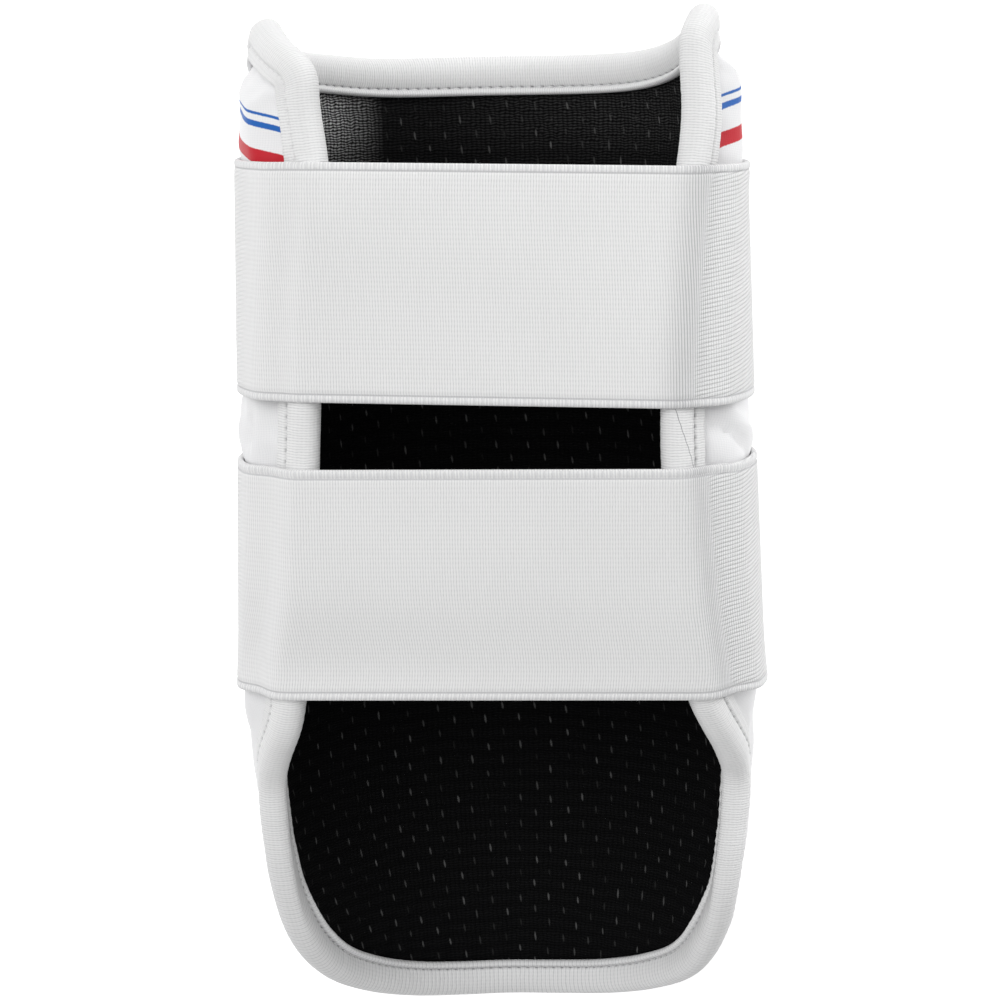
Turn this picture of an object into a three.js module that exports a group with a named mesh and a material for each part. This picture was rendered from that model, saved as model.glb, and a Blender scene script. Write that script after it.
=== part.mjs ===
// Elbow guard: a padded C-shaped shell with a mesh lining, a bound edge and two wide elastic straps.
// It lies on its back. +Z points out of the open side, +Y to the lobed end. Lengths are in millimetres.
import * as THREE from "three";

// Section across the arm, on the inner face of the lining: a round back and tighter flaps that curl inwards
const BACK_RADIUS = 47;
const BACK_ANGLE = THREE.MathUtils.degToRad(65);
const FLAP_RADIUS = 30;
const BACK_REACH = BACK_RADIUS * BACK_ANGLE;

// Spread of each half of the section across the arm: widest where the flaps end, narrowest at the tongue
const SPREAD = [
  { along: -116, left: 0.922, right: 0.898 },
  { along: -102, left: 0.967, right: 0.941 },
  { along: -90, left: 1.007, right: 0.986 },
  { along: -78, left: 1.044, right: 1.032 },
  { along: -66, left: 1.072, right: 1.068 },
  { along: -55, left: 1.088, right: 1.091 },
  { along: -45, left: 1.092, right: 1.096 },
  { along: -24, left: 1.05, right: 1.05 },
  { along: 30, left: 1.02, right: 1.02 },
  { along: 80, left: 1, right: 1 },
  { along: 94, left: 1.005, right: 1.015 },
  { along: 106, left: 1.02, right: 0.985 },
  { along: 118, left: 0.978, right: 0.976 },
];

// Layers, counted from the lining's inner face outwards
const LAYER_GAP = 0.3;
const LINING = 1.5;
const PAD_AT_EDGE = 1.6;
const PAD_PUFF = 4.5;
const PUFF_START = 9.4;
const PUFF_LENGTH = 6.5;
const PAD_INNER = LINING + LAYER_GAP;
const PAD_EDGE_OUTER = PAD_INNER + PAD_AT_EDGE;
const PAD_FULL_OUTER = PAD_EDGE_OUTER + PAD_PUFF;

// The soft cover lies flattened by this much on the surface that it rests on
const REST_FLAT = 1.2;
const LINING_HEIGHT = PAD_FULL_OUTER - REST_FLAT;

// Binding: a tape folded over the edge, with two legs
const TAPE = 0.9;
const TAPE_GAP = 0.45;
const INNER_LEG = 8.7;
const OUTER_LEG = 7;
const ROLL = 2.6;
const WALL_INSET = TAPE + TAPE_GAP;
const TAPE_INNER = -TAPE_GAP - TAPE;
const TAPE_OUTER = PAD_EDGE_OUTER + TAPE_GAP + TAPE;

// Straps: woven elastic that lies on the cover, folds over the flap edges and spans the opening
const STRAP = 1.4;
const STRAP_GAP = 0.4;
const STRAP_END = 42;
const STRAP_ON_PAD = PAD_FULL_OUTER + STRAP_GAP;
const STRAP_ON_TAPE = TAPE_OUTER + STRAP_GAP;
const FOLD_CENTRE = TAPE_OUTER - ROLL;
const STRAPS = [
  { name: "upper", width: 50, left: 60.7, right: 58 },
  { name: "lower", width: 50.4, left: -3.8, right: -4.8 },
];

// Pull tabs: plain hook tabs that carry on from the right ends of the straps
const TAB_LENGTH = 19;
const TAB_MARGIN = 1.5;
const TAB_CORNER = 9;

// Outline of the bound edge, laid out flat. Reach is the distance from the spine along the section.
const TONGUE_TIP = -115;
const TONGUE_ROUND = 2.65;
const SIDE_EDGES = [
  { along: -102.5, left: 50, right: 54.4 },
  { along: -92.5, left: 59.9, right: 64 },
  { along: -81, left: 66, right: 70.6 },
  { along: -70, left: 69.8, right: 72.7 },
  { along: -60, left: 71.9, right: 72.9 },
  { along: -52, left: 73.5, right: 73.8 },
  { along: -45, left: 78, right: 79.3 },
  { along: -38, left: 82.9, right: 85.1 },
  { along: -31, left: 84.8, right: 88.9 },
  { along: -22, left: 84.6, right: 90.4 },
  { along: -5, left: 88.5, right: 92.8 },
  { along: 25, left: 90.3, right: 94.3 },
  { along: 55, left: 92, right: 91.8 },
  { along: 80, left: 94.5, right: 87.8 },
  { along: 95, left: 92.9, right: 85.5 },
  { along: 105, left: 92.4, right: 83.9 },
  { along: 111.5, left: 82, right: 81.6 },
];

// Rise of the lobes over the dip between them
const TOP_DIP = 105.7;
const TOP_EDGE = [
  { reach: 71, left: 9.3, right: 10.6 },
  { reach: 59, left: 3.8, right: 7 },
  { reach: 49, left: 2.4, right: 3.2 },
  { reach: 38, left: 1.3, right: 0.9 },
  { reach: 26, left: 0.2, right: 0.1 },
];

// Shift that puts the middle of the guard's footprint on the origin
const CENTRE_ACROSS = -0.03;
const CENTRE_ALONG = -0.66;

// Facets
const COLUMNS = 26;
const ROWS = 30;
const STRAP_ROWS = 6;
const WRAP_STEPS = 8;
const FOLD_STEPS = 3;
const TAB_STEPS = 6;
const CURVE_DIVISIONS = 20;

// Point of the wall: `around` from the spine, at a station `along` the guard, `out` from the lining's face
function wallPoint(around, along, out) {
  const { across, height, angle } = sectionAt(Math.abs(around));
  const spread = readTable(SPREAD, around < 0 ? "left" : "right", along);
  return new THREE.Vector3(
    Math.sign(around) * (across + out * Math.sin(angle)) * spread + CENTRE_ACROSS,
    along + CENTRE_ALONG,
    Math.max(0, LINING_HEIGHT + height - out * Math.cos(angle)),
  );
}

// Value of a table's column at a station along the guard, read straight between its rows
function readTable(table, column, along) {
  const found = table.findIndex((row) => row.along >= along);
  const above = THREE.MathUtils.clamp(found < 0 ? table.length : found, 1, table.length - 1);
  const from = table[above - 1];
  const to = table[above];
  return THREE.MathUtils.mapLinear(along, from.along, to.along, from[column], to[column]);
}

// Inner line of the section at a reach from the spine: its place and the angle that it has turned through
function sectionAt(reach) {
  if (reach < BACK_REACH) {
    const angle = reach / BACK_RADIUS;
    return {
      across: BACK_RADIUS * Math.sin(angle),
      height: BACK_RADIUS * (1 - Math.cos(angle)),
      angle,
    };
  }
  const angle = BACK_ANGLE + (reach - BACK_REACH) / FLAP_RADIUS;
  const backWeight = BACK_RADIUS - FLAP_RADIUS;
  return {
    across: backWeight * Math.sin(BACK_ANGLE) + FLAP_RADIUS * Math.sin(angle),
    height: BACK_RADIUS - backWeight * Math.cos(BACK_ANGLE) - FLAP_RADIUS * Math.cos(angle),
    angle,
  };
}

// Control points of the flat outline, anticlockwise from the tongue's left corner, and which are its corners
function outlinePoints() {
  const corner = SIDE_EDGES[0];
  const tongueShares = [-0.75, -0.5, -0.25, 0, 0.25, 0.5, 0.75];
  const tongue = tongueShares.map((share) => [
    share * (share < 0 ? corner.left : corner.right),
    TONGUE_TIP + (corner.along - TONGUE_TIP) * Math.abs(share) ** TONGUE_ROUND,
  ]);
  const right = SIDE_EDGES.map((row) => [row.right, row.along]);
  const left = SIDE_EDGES.map((row) => [-row.left, row.along]).reverse();
  const rightLobe = TOP_EDGE.map((row) => [row.reach, TOP_DIP + row.right]);
  const leftLobe = TOP_EDGE.map((row) => [-row.reach, TOP_DIP + row.left]).reverse();
  const top = [...rightLobe, [0, TOP_DIP], ...leftLobe];
  const points = [left.pop(), ...tongue, ...right, ...top, ...left];
  const lowRight = 1 + tongue.length;
  const highRight = lowRight + right.length - 1;
  const highLeft = highRight + top.length + 1;
  return {
    points: points.map(([around, along]) => new THREE.Vector3(around, along, 0)),
    corners: [0, lowRight, highRight, highLeft, points.length],
  };
}

// Share of the way along a side, with shorter steps towards both ends
function crowded(share) {
  return 0.5 * share + 0.25 * (1 - Math.cos(Math.PI * share));
}

// Stations round the outline: each has its flat place and the flat direction into the guard
function outlineStations() {
  const { points, corners } = outlinePoints();
  const curve = new THREE.CatmullRomCurve3(points, true);
  curve.arcLengthDivisions = points.length * CURVE_DIVISIONS;
  const lengths = curve.getLengths();
  const shareAt = (control) => lengths[control * CURVE_DIVISIONS] / lengths.at(-1);
  const stations = [];
  [COLUMNS, ROWS, COLUMNS, ROWS].forEach((steps, side) => {
    const from = shareAt(corners[side]);
    const to = shareAt(corners[side + 1]);
    for (let step = 0; step < steps; step++) {
      const share = THREE.MathUtils.lerp(from, to, crowded(step / steps));
      const place = curve.getPointAt(share);
      const heading = curve.getTangentAt(share);
      stations.push({ place, inward: new THREE.Vector3(-heading.y, heading.x, 0) });
    }
  });
  return stations;
}

const stations = outlineStations();

// Flat place at a depth in from the bound edge, at a station
function insetPlace(station, depth) {
  return station.place.clone().addScaledVector(station.inward, depth);
}

// Flat grid of the wall: a Coons patch inside the four sides of the inset outline
function wallGrid() {
  const edge = stations.map((station) => insetPlace(station, WALL_INSET));
  const half = COLUMNS + ROWS;
  const low = (column) => edge[column];
  const right = (row) => edge[COLUMNS + row];
  const high = (column) => edge[half + COLUMNS - column];
  const left = (row) => edge[(half + COLUMNS + ROWS - row) % edge.length];
  const mix = (from, to, share) => from.clone().lerp(to, share);
  return (column, row) => {
    const s = crowded(column / COLUMNS);
    const t = crowded(row / ROWS);
    const corners = mix(mix(low(0), low(COLUMNS), s), mix(high(0), high(COLUMNS), s), t);
    return mix(low(column), high(column), t).add(mix(left(row), right(row), s)).sub(corners);
  };
}

const gridPlace = wallGrid();

// Distance from a flat place to the bound edge
function depthFromEdge(place) {
  const nearest = new THREE.Vector3();
  const distances = stations.map((station, index) => {
    const next = stations[(index + 1) % stations.length];
    new THREE.Line3(station.place, next.place).closestPointToPoint(place, true, nearest);
    return nearest.distanceTo(place);
  });
  return Math.min(...distances);
}

// Height of the padded cover over the lining's face: pressed flat under the binding, full further in
function coverHeight(place) {
  const share = THREE.MathUtils.smoothstep(depthFromEdge(place), PUFF_START, PUFF_START + PUFF_LENGTH);
  return PAD_EDGE_OUTER + PAD_PUFF * share;
}

// Closed solid between two facing grids. pointAt(column, row, outer) gives a point of either grid.
function slabGeometry(columns, rows, pointAt) {
  const positions = [];
  for (const outer of [false, true])
    for (let row = 0; row <= rows; row++)
      for (let column = 0; column <= columns; column++)
        positions.push(...pointAt(column, row, outer).toArray());
  const layerSize = (columns + 1) * (rows + 1);
  const vertex = (column, row, outer) => (outer ? layerSize : 0) + row * (columns + 1) + column;
  const index = [];
  const quad = (a, b, c, d) => index.push(a, b, c, a, c, d);
  for (let row = 0; row < rows; row++)
    for (let column = 0; column < columns; column++)
      for (const outer of [false, true]) {
        const a = vertex(column, row, outer);
        const b = vertex(column + 1, row, outer);
        const c = vertex(column + 1, row + 1, outer);
        const d = vertex(column, row + 1, outer);
        if (outer) quad(a, d, c, b);
        else quad(a, b, c, d);
      }
  const rim = (from, to) =>
    quad(vertex(...to, false), vertex(...from, false), vertex(...from, true), vertex(...to, true));
  for (let column = 0; column < columns; column++) {
    rim([column, 0], [column + 1, 0]);
    rim([column + 1, rows], [column, rows]);
  }
  for (let row = 0; row < rows; row++) {
    rim([columns, row], [columns, row + 1]);
    rim([0, row + 1], [0, row]);
  }
  return solidGeometry(positions, index);
}

// Closed ring: the same closed cross-section at every station of a loop
function ringGeometry(stationCount, sectionCount, pointAt) {
  const positions = [];
  const index = [];
  const vertex = (station, corner) => (station % stationCount) * sectionCount + (corner % sectionCount);
  for (let station = 0; station < stationCount; station++)
    for (let corner = 0; corner < sectionCount; corner++) {
      positions.push(...pointAt(station, corner).toArray());
      const a = vertex(station, corner);
      const b = vertex(station + 1, corner);
      const c = vertex(station + 1, corner + 1);
      const d = vertex(station, corner + 1);
      index.push(a, c, b, a, d, c);
    }
  return solidGeometry(positions, index);
}

function solidGeometry(positions, index) {
  const geometry = new THREE.BufferGeometry();
  geometry.setAttribute("position", new THREE.Float32BufferAttribute(positions, 3));
  geometry.setIndex(index);
  geometry.computeVertexNormals();
  return geometry;
}

// Padded shell: foam in a smooth white cover, from the back of the lining to the outer face
function paddedShellGeometry() {
  return slabGeometry(COLUMNS, ROWS, (column, row, outer) => {
    const place = gridPlace(column, row);
    return wallPoint(place.x, place.y, outer ? coverHeight(place) : PAD_INNER);
  });
}

// Mesh lining: a thin wall on the inner face of the shell
function meshLiningGeometry() {
  return slabGeometry(COLUMNS, ROWS, (column, row, outer) => {
    const place = gridPlace(column, row);
    return wallPoint(place.x, place.y, outer ? LINING : 0);
  });
}

// Edge binding: the tape's cross-section as depth in from the edge and height over the lining's face
function edgeBindingGeometry() {
  const shoulder = 0.3 * ROLL;
  const section = [
    { depth: INNER_LEG, height: TAPE_INNER },
    { depth: INNER_LEG / 2, height: TAPE_INNER },
    { depth: shoulder, height: TAPE_INNER },
    { depth: 0, height: TAPE_INNER + ROLL },
    { depth: 0, height: FOLD_CENTRE },
    { depth: shoulder, height: TAPE_OUTER - shoulder },
    { depth: ROLL, height: TAPE_OUTER },
    { depth: OUTER_LEG, height: TAPE_OUTER },
    { depth: OUTER_LEG, height: TAPE_OUTER - TAPE },
    { depth: OUTER_LEG / 2, height: TAPE_OUTER - TAPE },
    { depth: TAPE, height: TAPE_OUTER - TAPE },
    { depth: TAPE, height: TAPE_INNER + TAPE },
    { depth: INNER_LEG / 2, height: TAPE_INNER + TAPE },
    { depth: INNER_LEG, height: TAPE_INNER + TAPE },
  ];
  return ringGeometry(stations.length, section.length, (station, corner) => {
    const { depth, height } = section[corner];
    const place = insetPlace(stations[station], depth);
    return wallPoint(place.x, place.y, height);
  });
}

// Reach of the bound edge by station along each flap
const rightFlapEdge = stations
  .slice(COLUMNS, COLUMNS + ROWS + 1)
  .map(({ place }) => ({ along: place.y, reach: place.x }));
const leftFlapEdge = [stations[0], ...stations.slice(2 * COLUMNS + ROWS).reverse()]
  .map(({ place }) => ({ along: place.y, reach: -place.x }));

// Half of a strap's route at one station, from its end on the outer face to the fold over the flap's edge
// The right flap is side 1 and the left flap side -1, and lift is the height over the strap's inner face.
function strapHalf(side, along, lift) {
  const foldReach = readTable(side < 0 ? leftFlapEdge : rightFlapEdge, "reach", along) - ROLL;
  const route = [];
  for (let step = 0; step < WRAP_STEPS; step++) {
    const reach = THREE.MathUtils.lerp(STRAP_END, foldReach, step / WRAP_STEPS);
    const onPad = THREE.MathUtils.clamp((foldReach - reach) / PUFF_START, 0, 1);
    const out = THREE.MathUtils.lerp(STRAP_ON_TAPE, STRAP_ON_PAD, onPad);
    route.push(wallPoint(side * reach, along, out + lift));
  }
  const centre = wallPoint(side * foldReach, along, FOLD_CENTRE);
  const startAngle = sectionAt(foldReach).angle;
  for (let step = 0; step <= FOLD_STEPS; step++) {
    const angle = THREE.MathUtils.lerp(startAngle, Math.PI, step / FOLD_STEPS);
    const away = new THREE.Vector3(side * Math.sin(angle), 0, -Math.cos(angle));
    route.push(centre.clone().addScaledVector(away, STRAP_ON_TAPE - FOLD_CENTRE + lift));
  }
  return route;
}

// Elastic strap: from the right end round the right flap, across the opening and round the left flap
function strapGeometry({ width, left, right }) {
  const columns = 2 * (WRAP_STEPS + FOLD_STEPS) + 1;
  return slabGeometry(columns, STRAP_ROWS, (column, row, outer) => {
    const offset = width * (row / STRAP_ROWS - 0.5);
    const lift = outer ? STRAP : 0;
    const onRight = strapHalf(1, right + offset, lift);
    const onLeft = strapHalf(-1, left + offset, lift);
    return [...onRight, ...onLeft.reverse()][column];
  });
}

// Pull tab: carries on from a strap's right end towards the spine, with two round corners
function pullTabGeometry({ width, right }) {
  const halfWidth = width / 2 - TAB_MARGIN;
  return slabGeometry(TAB_STEPS, STRAP_ROWS, (column, row, outer) => {
    const gone = TAB_LENGTH * Math.sin((Math.PI / 2) * (1 - column / TAB_STEPS));
    const intoCorner = Math.max(0, gone - (TAB_LENGTH - TAB_CORNER));
    const trimmed = TAB_CORNER - Math.sqrt(TAB_CORNER ** 2 - intoCorner ** 2);
    const along = right + (halfWidth - trimmed) * THREE.MathUtils.lerp(-1, 1, row / STRAP_ROWS);
    const reach = STRAP_END - LAYER_GAP - gone;
    return wallPoint(reach, along, outer ? STRAP_ON_PAD + STRAP : STRAP_ON_PAD);
  });
}

function cloth(color, roughness) {
  return new THREE.MeshStandardMaterial({ color, roughness, metalness: 0 });
}

const coverWhite = cloth(0xeeeeee, 0.45);
const liningBlack = cloth(0x0b0b0c, 0.9);
const tapeWhite = cloth(0xe9e9e9, 0.8);
const elasticWhite = cloth(0xececec, 0.85);
const tabWhite = cloth(0xe6e6e6, 0.6);

const elbowGuard = new THREE.Group();

function addPiece(name, geometry, material) {
  const mesh = new THREE.Mesh(geometry, material);
  mesh.name = name;
  elbowGuard.add(mesh);
}

addPiece("padded_shell", paddedShellGeometry(), coverWhite);
addPiece("mesh_lining", meshLiningGeometry(), liningBlack);
addPiece("edge_binding", edgeBindingGeometry(), tapeWhite);
for (const strap of STRAPS) {
  addPiece(`strap_${strap.name}`, strapGeometry(strap), elasticWhite);
  addPiece(`pull_tab_${strap.name}`, pullTabGeometry(strap), tabWhite);
}

export default elbowGuard;
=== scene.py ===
# %% [markdown]
# # A sports elbow guard
#
# The guard is a C-shaped pad that lies on its back with its open side up. A white padded cover holds the
# foam, a black mesh lining lies against the arm, a ribbed tape binds the whole edge, and two wide elastic
# straps close the open side. The imported model already has these forms with few facets. This lesson dresses
# them: each soft piece is made again, finer, in the same frame, and gets a cloth of its own.
#
# The first cell loads the imported model.

# %% Load the imported model
import math
import bpy
import numpy as np
from mathutils import Matrix, Vector


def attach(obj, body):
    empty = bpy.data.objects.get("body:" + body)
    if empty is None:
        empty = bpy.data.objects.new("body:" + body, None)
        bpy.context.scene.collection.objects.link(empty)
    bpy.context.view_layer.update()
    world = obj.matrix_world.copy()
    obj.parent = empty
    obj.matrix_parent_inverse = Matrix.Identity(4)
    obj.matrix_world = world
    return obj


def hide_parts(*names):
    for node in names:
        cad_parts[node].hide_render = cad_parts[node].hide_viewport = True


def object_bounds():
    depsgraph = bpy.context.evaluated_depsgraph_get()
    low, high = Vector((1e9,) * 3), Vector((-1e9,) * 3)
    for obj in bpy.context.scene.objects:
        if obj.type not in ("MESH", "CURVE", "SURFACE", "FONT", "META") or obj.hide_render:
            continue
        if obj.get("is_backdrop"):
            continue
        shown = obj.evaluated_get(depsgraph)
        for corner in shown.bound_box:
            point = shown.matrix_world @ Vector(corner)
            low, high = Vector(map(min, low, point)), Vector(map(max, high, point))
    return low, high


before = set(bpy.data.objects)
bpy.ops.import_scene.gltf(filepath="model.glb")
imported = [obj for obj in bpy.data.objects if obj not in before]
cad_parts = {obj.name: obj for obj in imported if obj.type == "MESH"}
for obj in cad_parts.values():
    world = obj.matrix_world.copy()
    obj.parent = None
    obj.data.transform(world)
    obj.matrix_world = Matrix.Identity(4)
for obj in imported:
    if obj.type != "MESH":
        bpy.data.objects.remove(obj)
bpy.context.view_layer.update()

# %% [markdown]
# ## Laying the guard out flat
#
# A maker cuts the guard flat and then bends it round the arm, so every piece here is laid out flat too. A
# flat place has two numbers in millimetres: `around`, which is counted from the spine along the curved
# section, and `along`, which runs from the tongue to the lobed end. A third number, `out`, is the height
# over the lining's face. One function bends such a place into the C shape. Working flat keeps the layers at
# an even distance from each other, which would be hard to hold by pushing points about in space.

# %% Bend a flat place into the C shape
MM = 0.001
BACK_RADIUS = 47.0
BACK_ANGLE = math.radians(65)
FLAP_RADIUS = 30.0
BACK_REACH = BACK_RADIUS * BACK_ANGLE
WIDEST_REACH = BACK_REACH + FLAP_RADIUS * (math.pi / 2 - BACK_ANGLE)
LINING_HEIGHT = 6.7
CENTRE_ACROSS, CENTRE_ALONG = -0.03, -0.66
SPREAD = np.array([
    # along, spread of the left half, spread of the right half
    (-116, 0.922, 0.898), (-102, 0.967, 0.941), (-90, 1.007, 0.986), (-78, 1.044, 1.032),
    (-66, 1.072, 1.068), (-55, 1.088, 1.091), (-45, 1.092, 1.096), (-24, 1.05, 1.05),
    (30, 1.02, 1.02), (80, 1, 1), (94, 0.993, 1.032), (106, 1.044, 0.977), (118, 0.978, 0.976),
])
SPREAD_SHIFTS = (-7, -3, 0, 3, 7)


def section_at(reach):
    """Place and turn of the lining's face at a reach from the spine: a round back, then tighter flaps."""
    on_back = reach < BACK_REACH
    turn = np.where(on_back, reach / BACK_RADIUS, BACK_ANGLE + (reach - BACK_REACH) / FLAP_RADIUS)
    radius = np.where(on_back, BACK_RADIUS, FLAP_RADIUS)
    rest = BACK_RADIUS - radius
    across = rest * math.sin(BACK_ANGLE) + radius * np.sin(turn)
    height = BACK_RADIUS - rest * math.cos(BACK_ANGLE) - radius * np.cos(turn)
    return across, height, turn


def spread_at(along, column):
    """Spread of the left (1) or right (2) half at stations, averaged over a short stretch."""
    stations, spreads = SPREAD[:, 0], SPREAD[:, column]
    return np.mean([np.interp(along + shift, stations, spreads) for shift in SPREAD_SHIFTS], 0)


def wall_point(around, along, out):
    """Points in metres for flat places, lifted `out` from the lining's face."""
    across, height, turn = section_at(np.abs(around))
    spread = np.where(around < 0, spread_at(along, 1), spread_at(along, 2))
    x = np.sign(around) * (across + out * np.sin(turn)) * spread
    z = np.maximum(LINING_HEIGHT + height - out * np.cos(turn), 0)
    return np.stack([x + CENTRE_ACROSS, along + CENTRE_ALONG + 0 * x, z], -1) * MM


print("widest inner width in mm:", round(2 * float(section_at(np.array(WIDEST_REACH))[0]), 1))

# %% [markdown]
# ## The bound edge
#
# The edge is one closed line: a round tongue, two long flaps, two lobes and a shallow dip between the
# lobes. A few measured points carry it, and a Catmull-Rom curve runs through them. A Bezier curve object
# would do as well, but here the curve stays a plain array, because the cover, the lining, the tape and the
# rows of stitches all need its points in the flat layout.

# %% Outline of the bound edge
TONGUE_TIP = -115.0
TONGUE_ROUND = 2.65
TONGUE_SHARES = (-0.75, -0.5, -0.25, 0, 0.25, 0.5, 0.75)
SIDE_EDGES = [
    # along, left reach, right reach
    (-102.5, 50, 54.4), (-92.5, 59.9, 64), (-81, 66, 70.6), (-70, 69.8, 72.7), (-60, 71.9, 72.9),
    (-52, 73.5, 73.8), (-45, 78, 79.3), (-38, 82.9, 85.1), (-31, 84.8, 88.9), (-22, 84.6, 90.4),
    (-5, 88.5, 92.8), (25, 90.3, 94.3), (55, 92, 91.8), (80, 94.5, 87.8), (95, 92.9, 85.5),
    (105, 92.4, 83.9), (111.5, 82, 81.6),
]
TOP_DIP = 105.7
LOBE_RISE = [
    # reach, rise on the left, rise on the right
    (71, 9.3, 10.6), (59, 3.8, 7), (49, 2.4, 3.2), (38, 1.3, 0.9), (26, 0.2, 0.1),
]
CURVE_STEPS = 20


def smooth_loop(points, steps):
    """Closed centripetal Catmull-Rom curve through the points, with so many steps between two of them."""
    made = []
    count = len(points)
    for index in range(count):
        a, b, c, d = (points[(index + shift) % count] for shift in (-1, 0, 1, 2))
        ab, bc, cd = (math.sqrt(math.dist(p, q)) for p, q in ((a, b), (b, c), (c, d)))
        leave = ((b - a) / ab - (c - a) / (ab + bc) + (c - b) / bc) * bc
        arrive = ((c - b) / bc - (d - b) / (bc + cd) + (d - c) / cd) * bc
        for s in np.arange(steps) / steps:
            made.append(
                (2 * s**3 - 3 * s**2 + 1) * b + (3 * s**2 - 2 * s**3) * c
                + (s**3 - 2 * s**2 + s) * leave + (s**3 - s**2) * arrive
            )
    return np.array(made)


def unit(vectors):
    """The same directions with length 1."""
    return vectors / np.linalg.norm(vectors, axis=1, keepdims=True)


def inward(loop):
    """Flat direction into the guard at each point of an anticlockwise loop."""
    heading = unit(np.roll(loop, -1, 0) - np.roll(loop, 1, 0))
    return np.stack([-heading[:, 1], heading[:, 0]], -1)


corner_along, corner_left, corner_right = SIDE_EDGES[0]
tongue = [
    (share * (corner_left if share < 0 else corner_right),
     TONGUE_TIP + (corner_along - TONGUE_TIP) * abs(share) ** TONGUE_ROUND)
    for share in TONGUE_SHARES
]
right_flap = [(right, along) for along, left, right in SIDE_EDGES]
left_flap = [(-left, along) for along, left, right in SIDE_EDGES[::-1]]
right_lobe = [(reach, TOP_DIP + right) for reach, left, right in LOBE_RISE]
left_lobe = [(-reach, TOP_DIP + left) for reach, left, right in LOBE_RISE[::-1]]
top = right_lobe + [(0, TOP_DIP)] + left_lobe
outline = np.array([left_flap[-1], *tongue, *right_flap, *top, *left_flap[:-1]], float)
tongue_end = 1 + len(tongue)
right_end = tongue_end + len(right_flap) - 1
corners = [0, tongue_end, right_end, right_end + 1 + len(top), len(outline)]
edge_loop = smooth_loop(outline, CURVE_STEPS)
edge_steps = np.linalg.norm(np.roll(edge_loop, -1, 0) - edge_loop, axis=1)
edge_gone = np.concatenate([[0], np.cumsum(edge_steps)])
EDGE_LENGTH = float(edge_steps.sum())
TONGUE_MIDDLE = float(edge_steps[:tongue_end // 2 * CURVE_STEPS].sum())
print("bound edge laid flat in mm:", round(EDGE_LENGTH, 1))

# %% [markdown]
# ## A grid that fills the outline
#
# Cover and lining need an even grid of points inside that outline. A Coons patch gives one: it blends the
# four sides of the outline into each other, so rows follow the flaps and columns follow the tongue and the
# top. The same cell measures how far each grid point lies from the edge, because the padding is pressed
# flat under the tape and rises further in.

# %% Fill the outline and measure the depth from the edge
BATCH = 4000


def crowded(share):
    """Share of the way along a side, with shorter steps towards both ends."""
    return 0.5 * share + 0.25 * (1 - np.cos(np.pi * share))


def length_gone(line):
    """Length gone along a line at each of its points."""
    return np.concatenate([[0], np.cumsum(np.linalg.norm(np.diff(line, axis=0), axis=1))])


def line_at(line, gone, wanted):
    """Points of a line at wanted lengths, from the lengths gone at its own points."""
    return np.stack([np.interp(wanted, gone, values) for values in line.T], -1)


def side_points(loop, side, shares):
    """Points of one of the outline's four sides, at shares of its length."""
    first, last = corners[side] * CURVE_STEPS, corners[side + 1] * CURVE_STEPS
    run = loop[np.arange(first, last + 1) % len(loop)]
    gone = length_gone(run)
    return line_at(run, gone / gone[-1], shares)


def fill_outline(columns, rows, inset):
    """Flat grid inside the outline, inset by so many millimetres, row by row from the tongue."""
    loop = edge_loop + inset * inward(edge_loop)
    s, t = crowded(np.arange(columns + 1) / columns), crowded(np.arange(rows + 1) / rows)
    low, right = side_points(loop, 0, s)[None], side_points(loop, 1, t)[:, None]
    high, left = side_points(loop, 2, 1 - s)[None], side_points(loop, 3, 1 - t)[:, None]
    s, t = s[None, :, None], t[:, None, None]
    low_end = (1 - s) * low[:, :1] + s * low[:, -1:]
    high_end = (1 - s) * high[:, :1] + s * high[:, -1:]
    ends = (1 - t) * low_end + t * high_end
    return ((1 - t) * low + t * high + (1 - s) * left + s * right - ends).reshape(-1, 2)


def nearest_edge(flat):
    """Depth of flat places from the bound edge, and the length gone round it at the nearest point."""
    depth, run = np.empty(len(flat)), np.empty(len(flat))
    for first in range(0, len(flat), BATCH):
        part = slice(first, first + BATCH)
        apart = np.linalg.norm(flat[part, None] - edge_loop[None], axis=2)
        depth[part], run[part] = apart.min(1), edge_gone[apart.argmin(1)]
    return depth, run


def smooth_step(value, low, high):
    """0 below low, 1 above high, with a soft rise between them."""
    share = np.clip((value - low) / (high - low), 0, 1)
    return share * share * (3 - 2 * share)


WALL_INSET = 1.3
COVER_COLUMNS, COVER_ROWS = 120, 170
cover_flat = fill_outline(COVER_COLUMNS, COVER_ROWS, WALL_INSET)
cover_depth, cover_run = nearest_edge(cover_flat)
print("grid points:", len(cover_flat), "deepest in mm:", round(float(cover_depth.max()), 1))

# %% [markdown]
# ## Helpers for pieces of cloth
#
# Every piece of cloth starts the way it would by hand: a flat grid is added, its points are moved to their
# place, and a Solidify modifier gives it a second face and a closed rim. The second face is then moved to
# its own place, which makes walls of uneven thickness. The tape has no second face: its grid is wrapped
# into a closed loop. The UV map keeps the flat places in millimetres, so a weave follows the cloth round
# every bend.

# %% Helpers: grid, points, flat map, second face
WAVE_COUNT = 9


def add_grid(name, columns, rows):
    """Adds a flat grid of so many cells and names it."""
    bpy.ops.object.select_all(action="DESELECT")
    bpy.ops.mesh.primitive_grid_add(x_subdivisions=columns, y_subdivisions=rows, size=0.1)
    piece = bpy.context.object
    piece.name = piece.data.name = name
    return piece


def move_points(piece, places, first=0):
    """Moves the piece's points, from the first one on, to places in metres."""
    points = np.empty(3 * len(piece.data.vertices), np.float32)
    piece.data.vertices.foreach_get("co", points)
    points.reshape(-1, 3)[first:first + len(places)] = places
    piece.data.vertices.foreach_set("co", points)
    piece.data.update()


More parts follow.
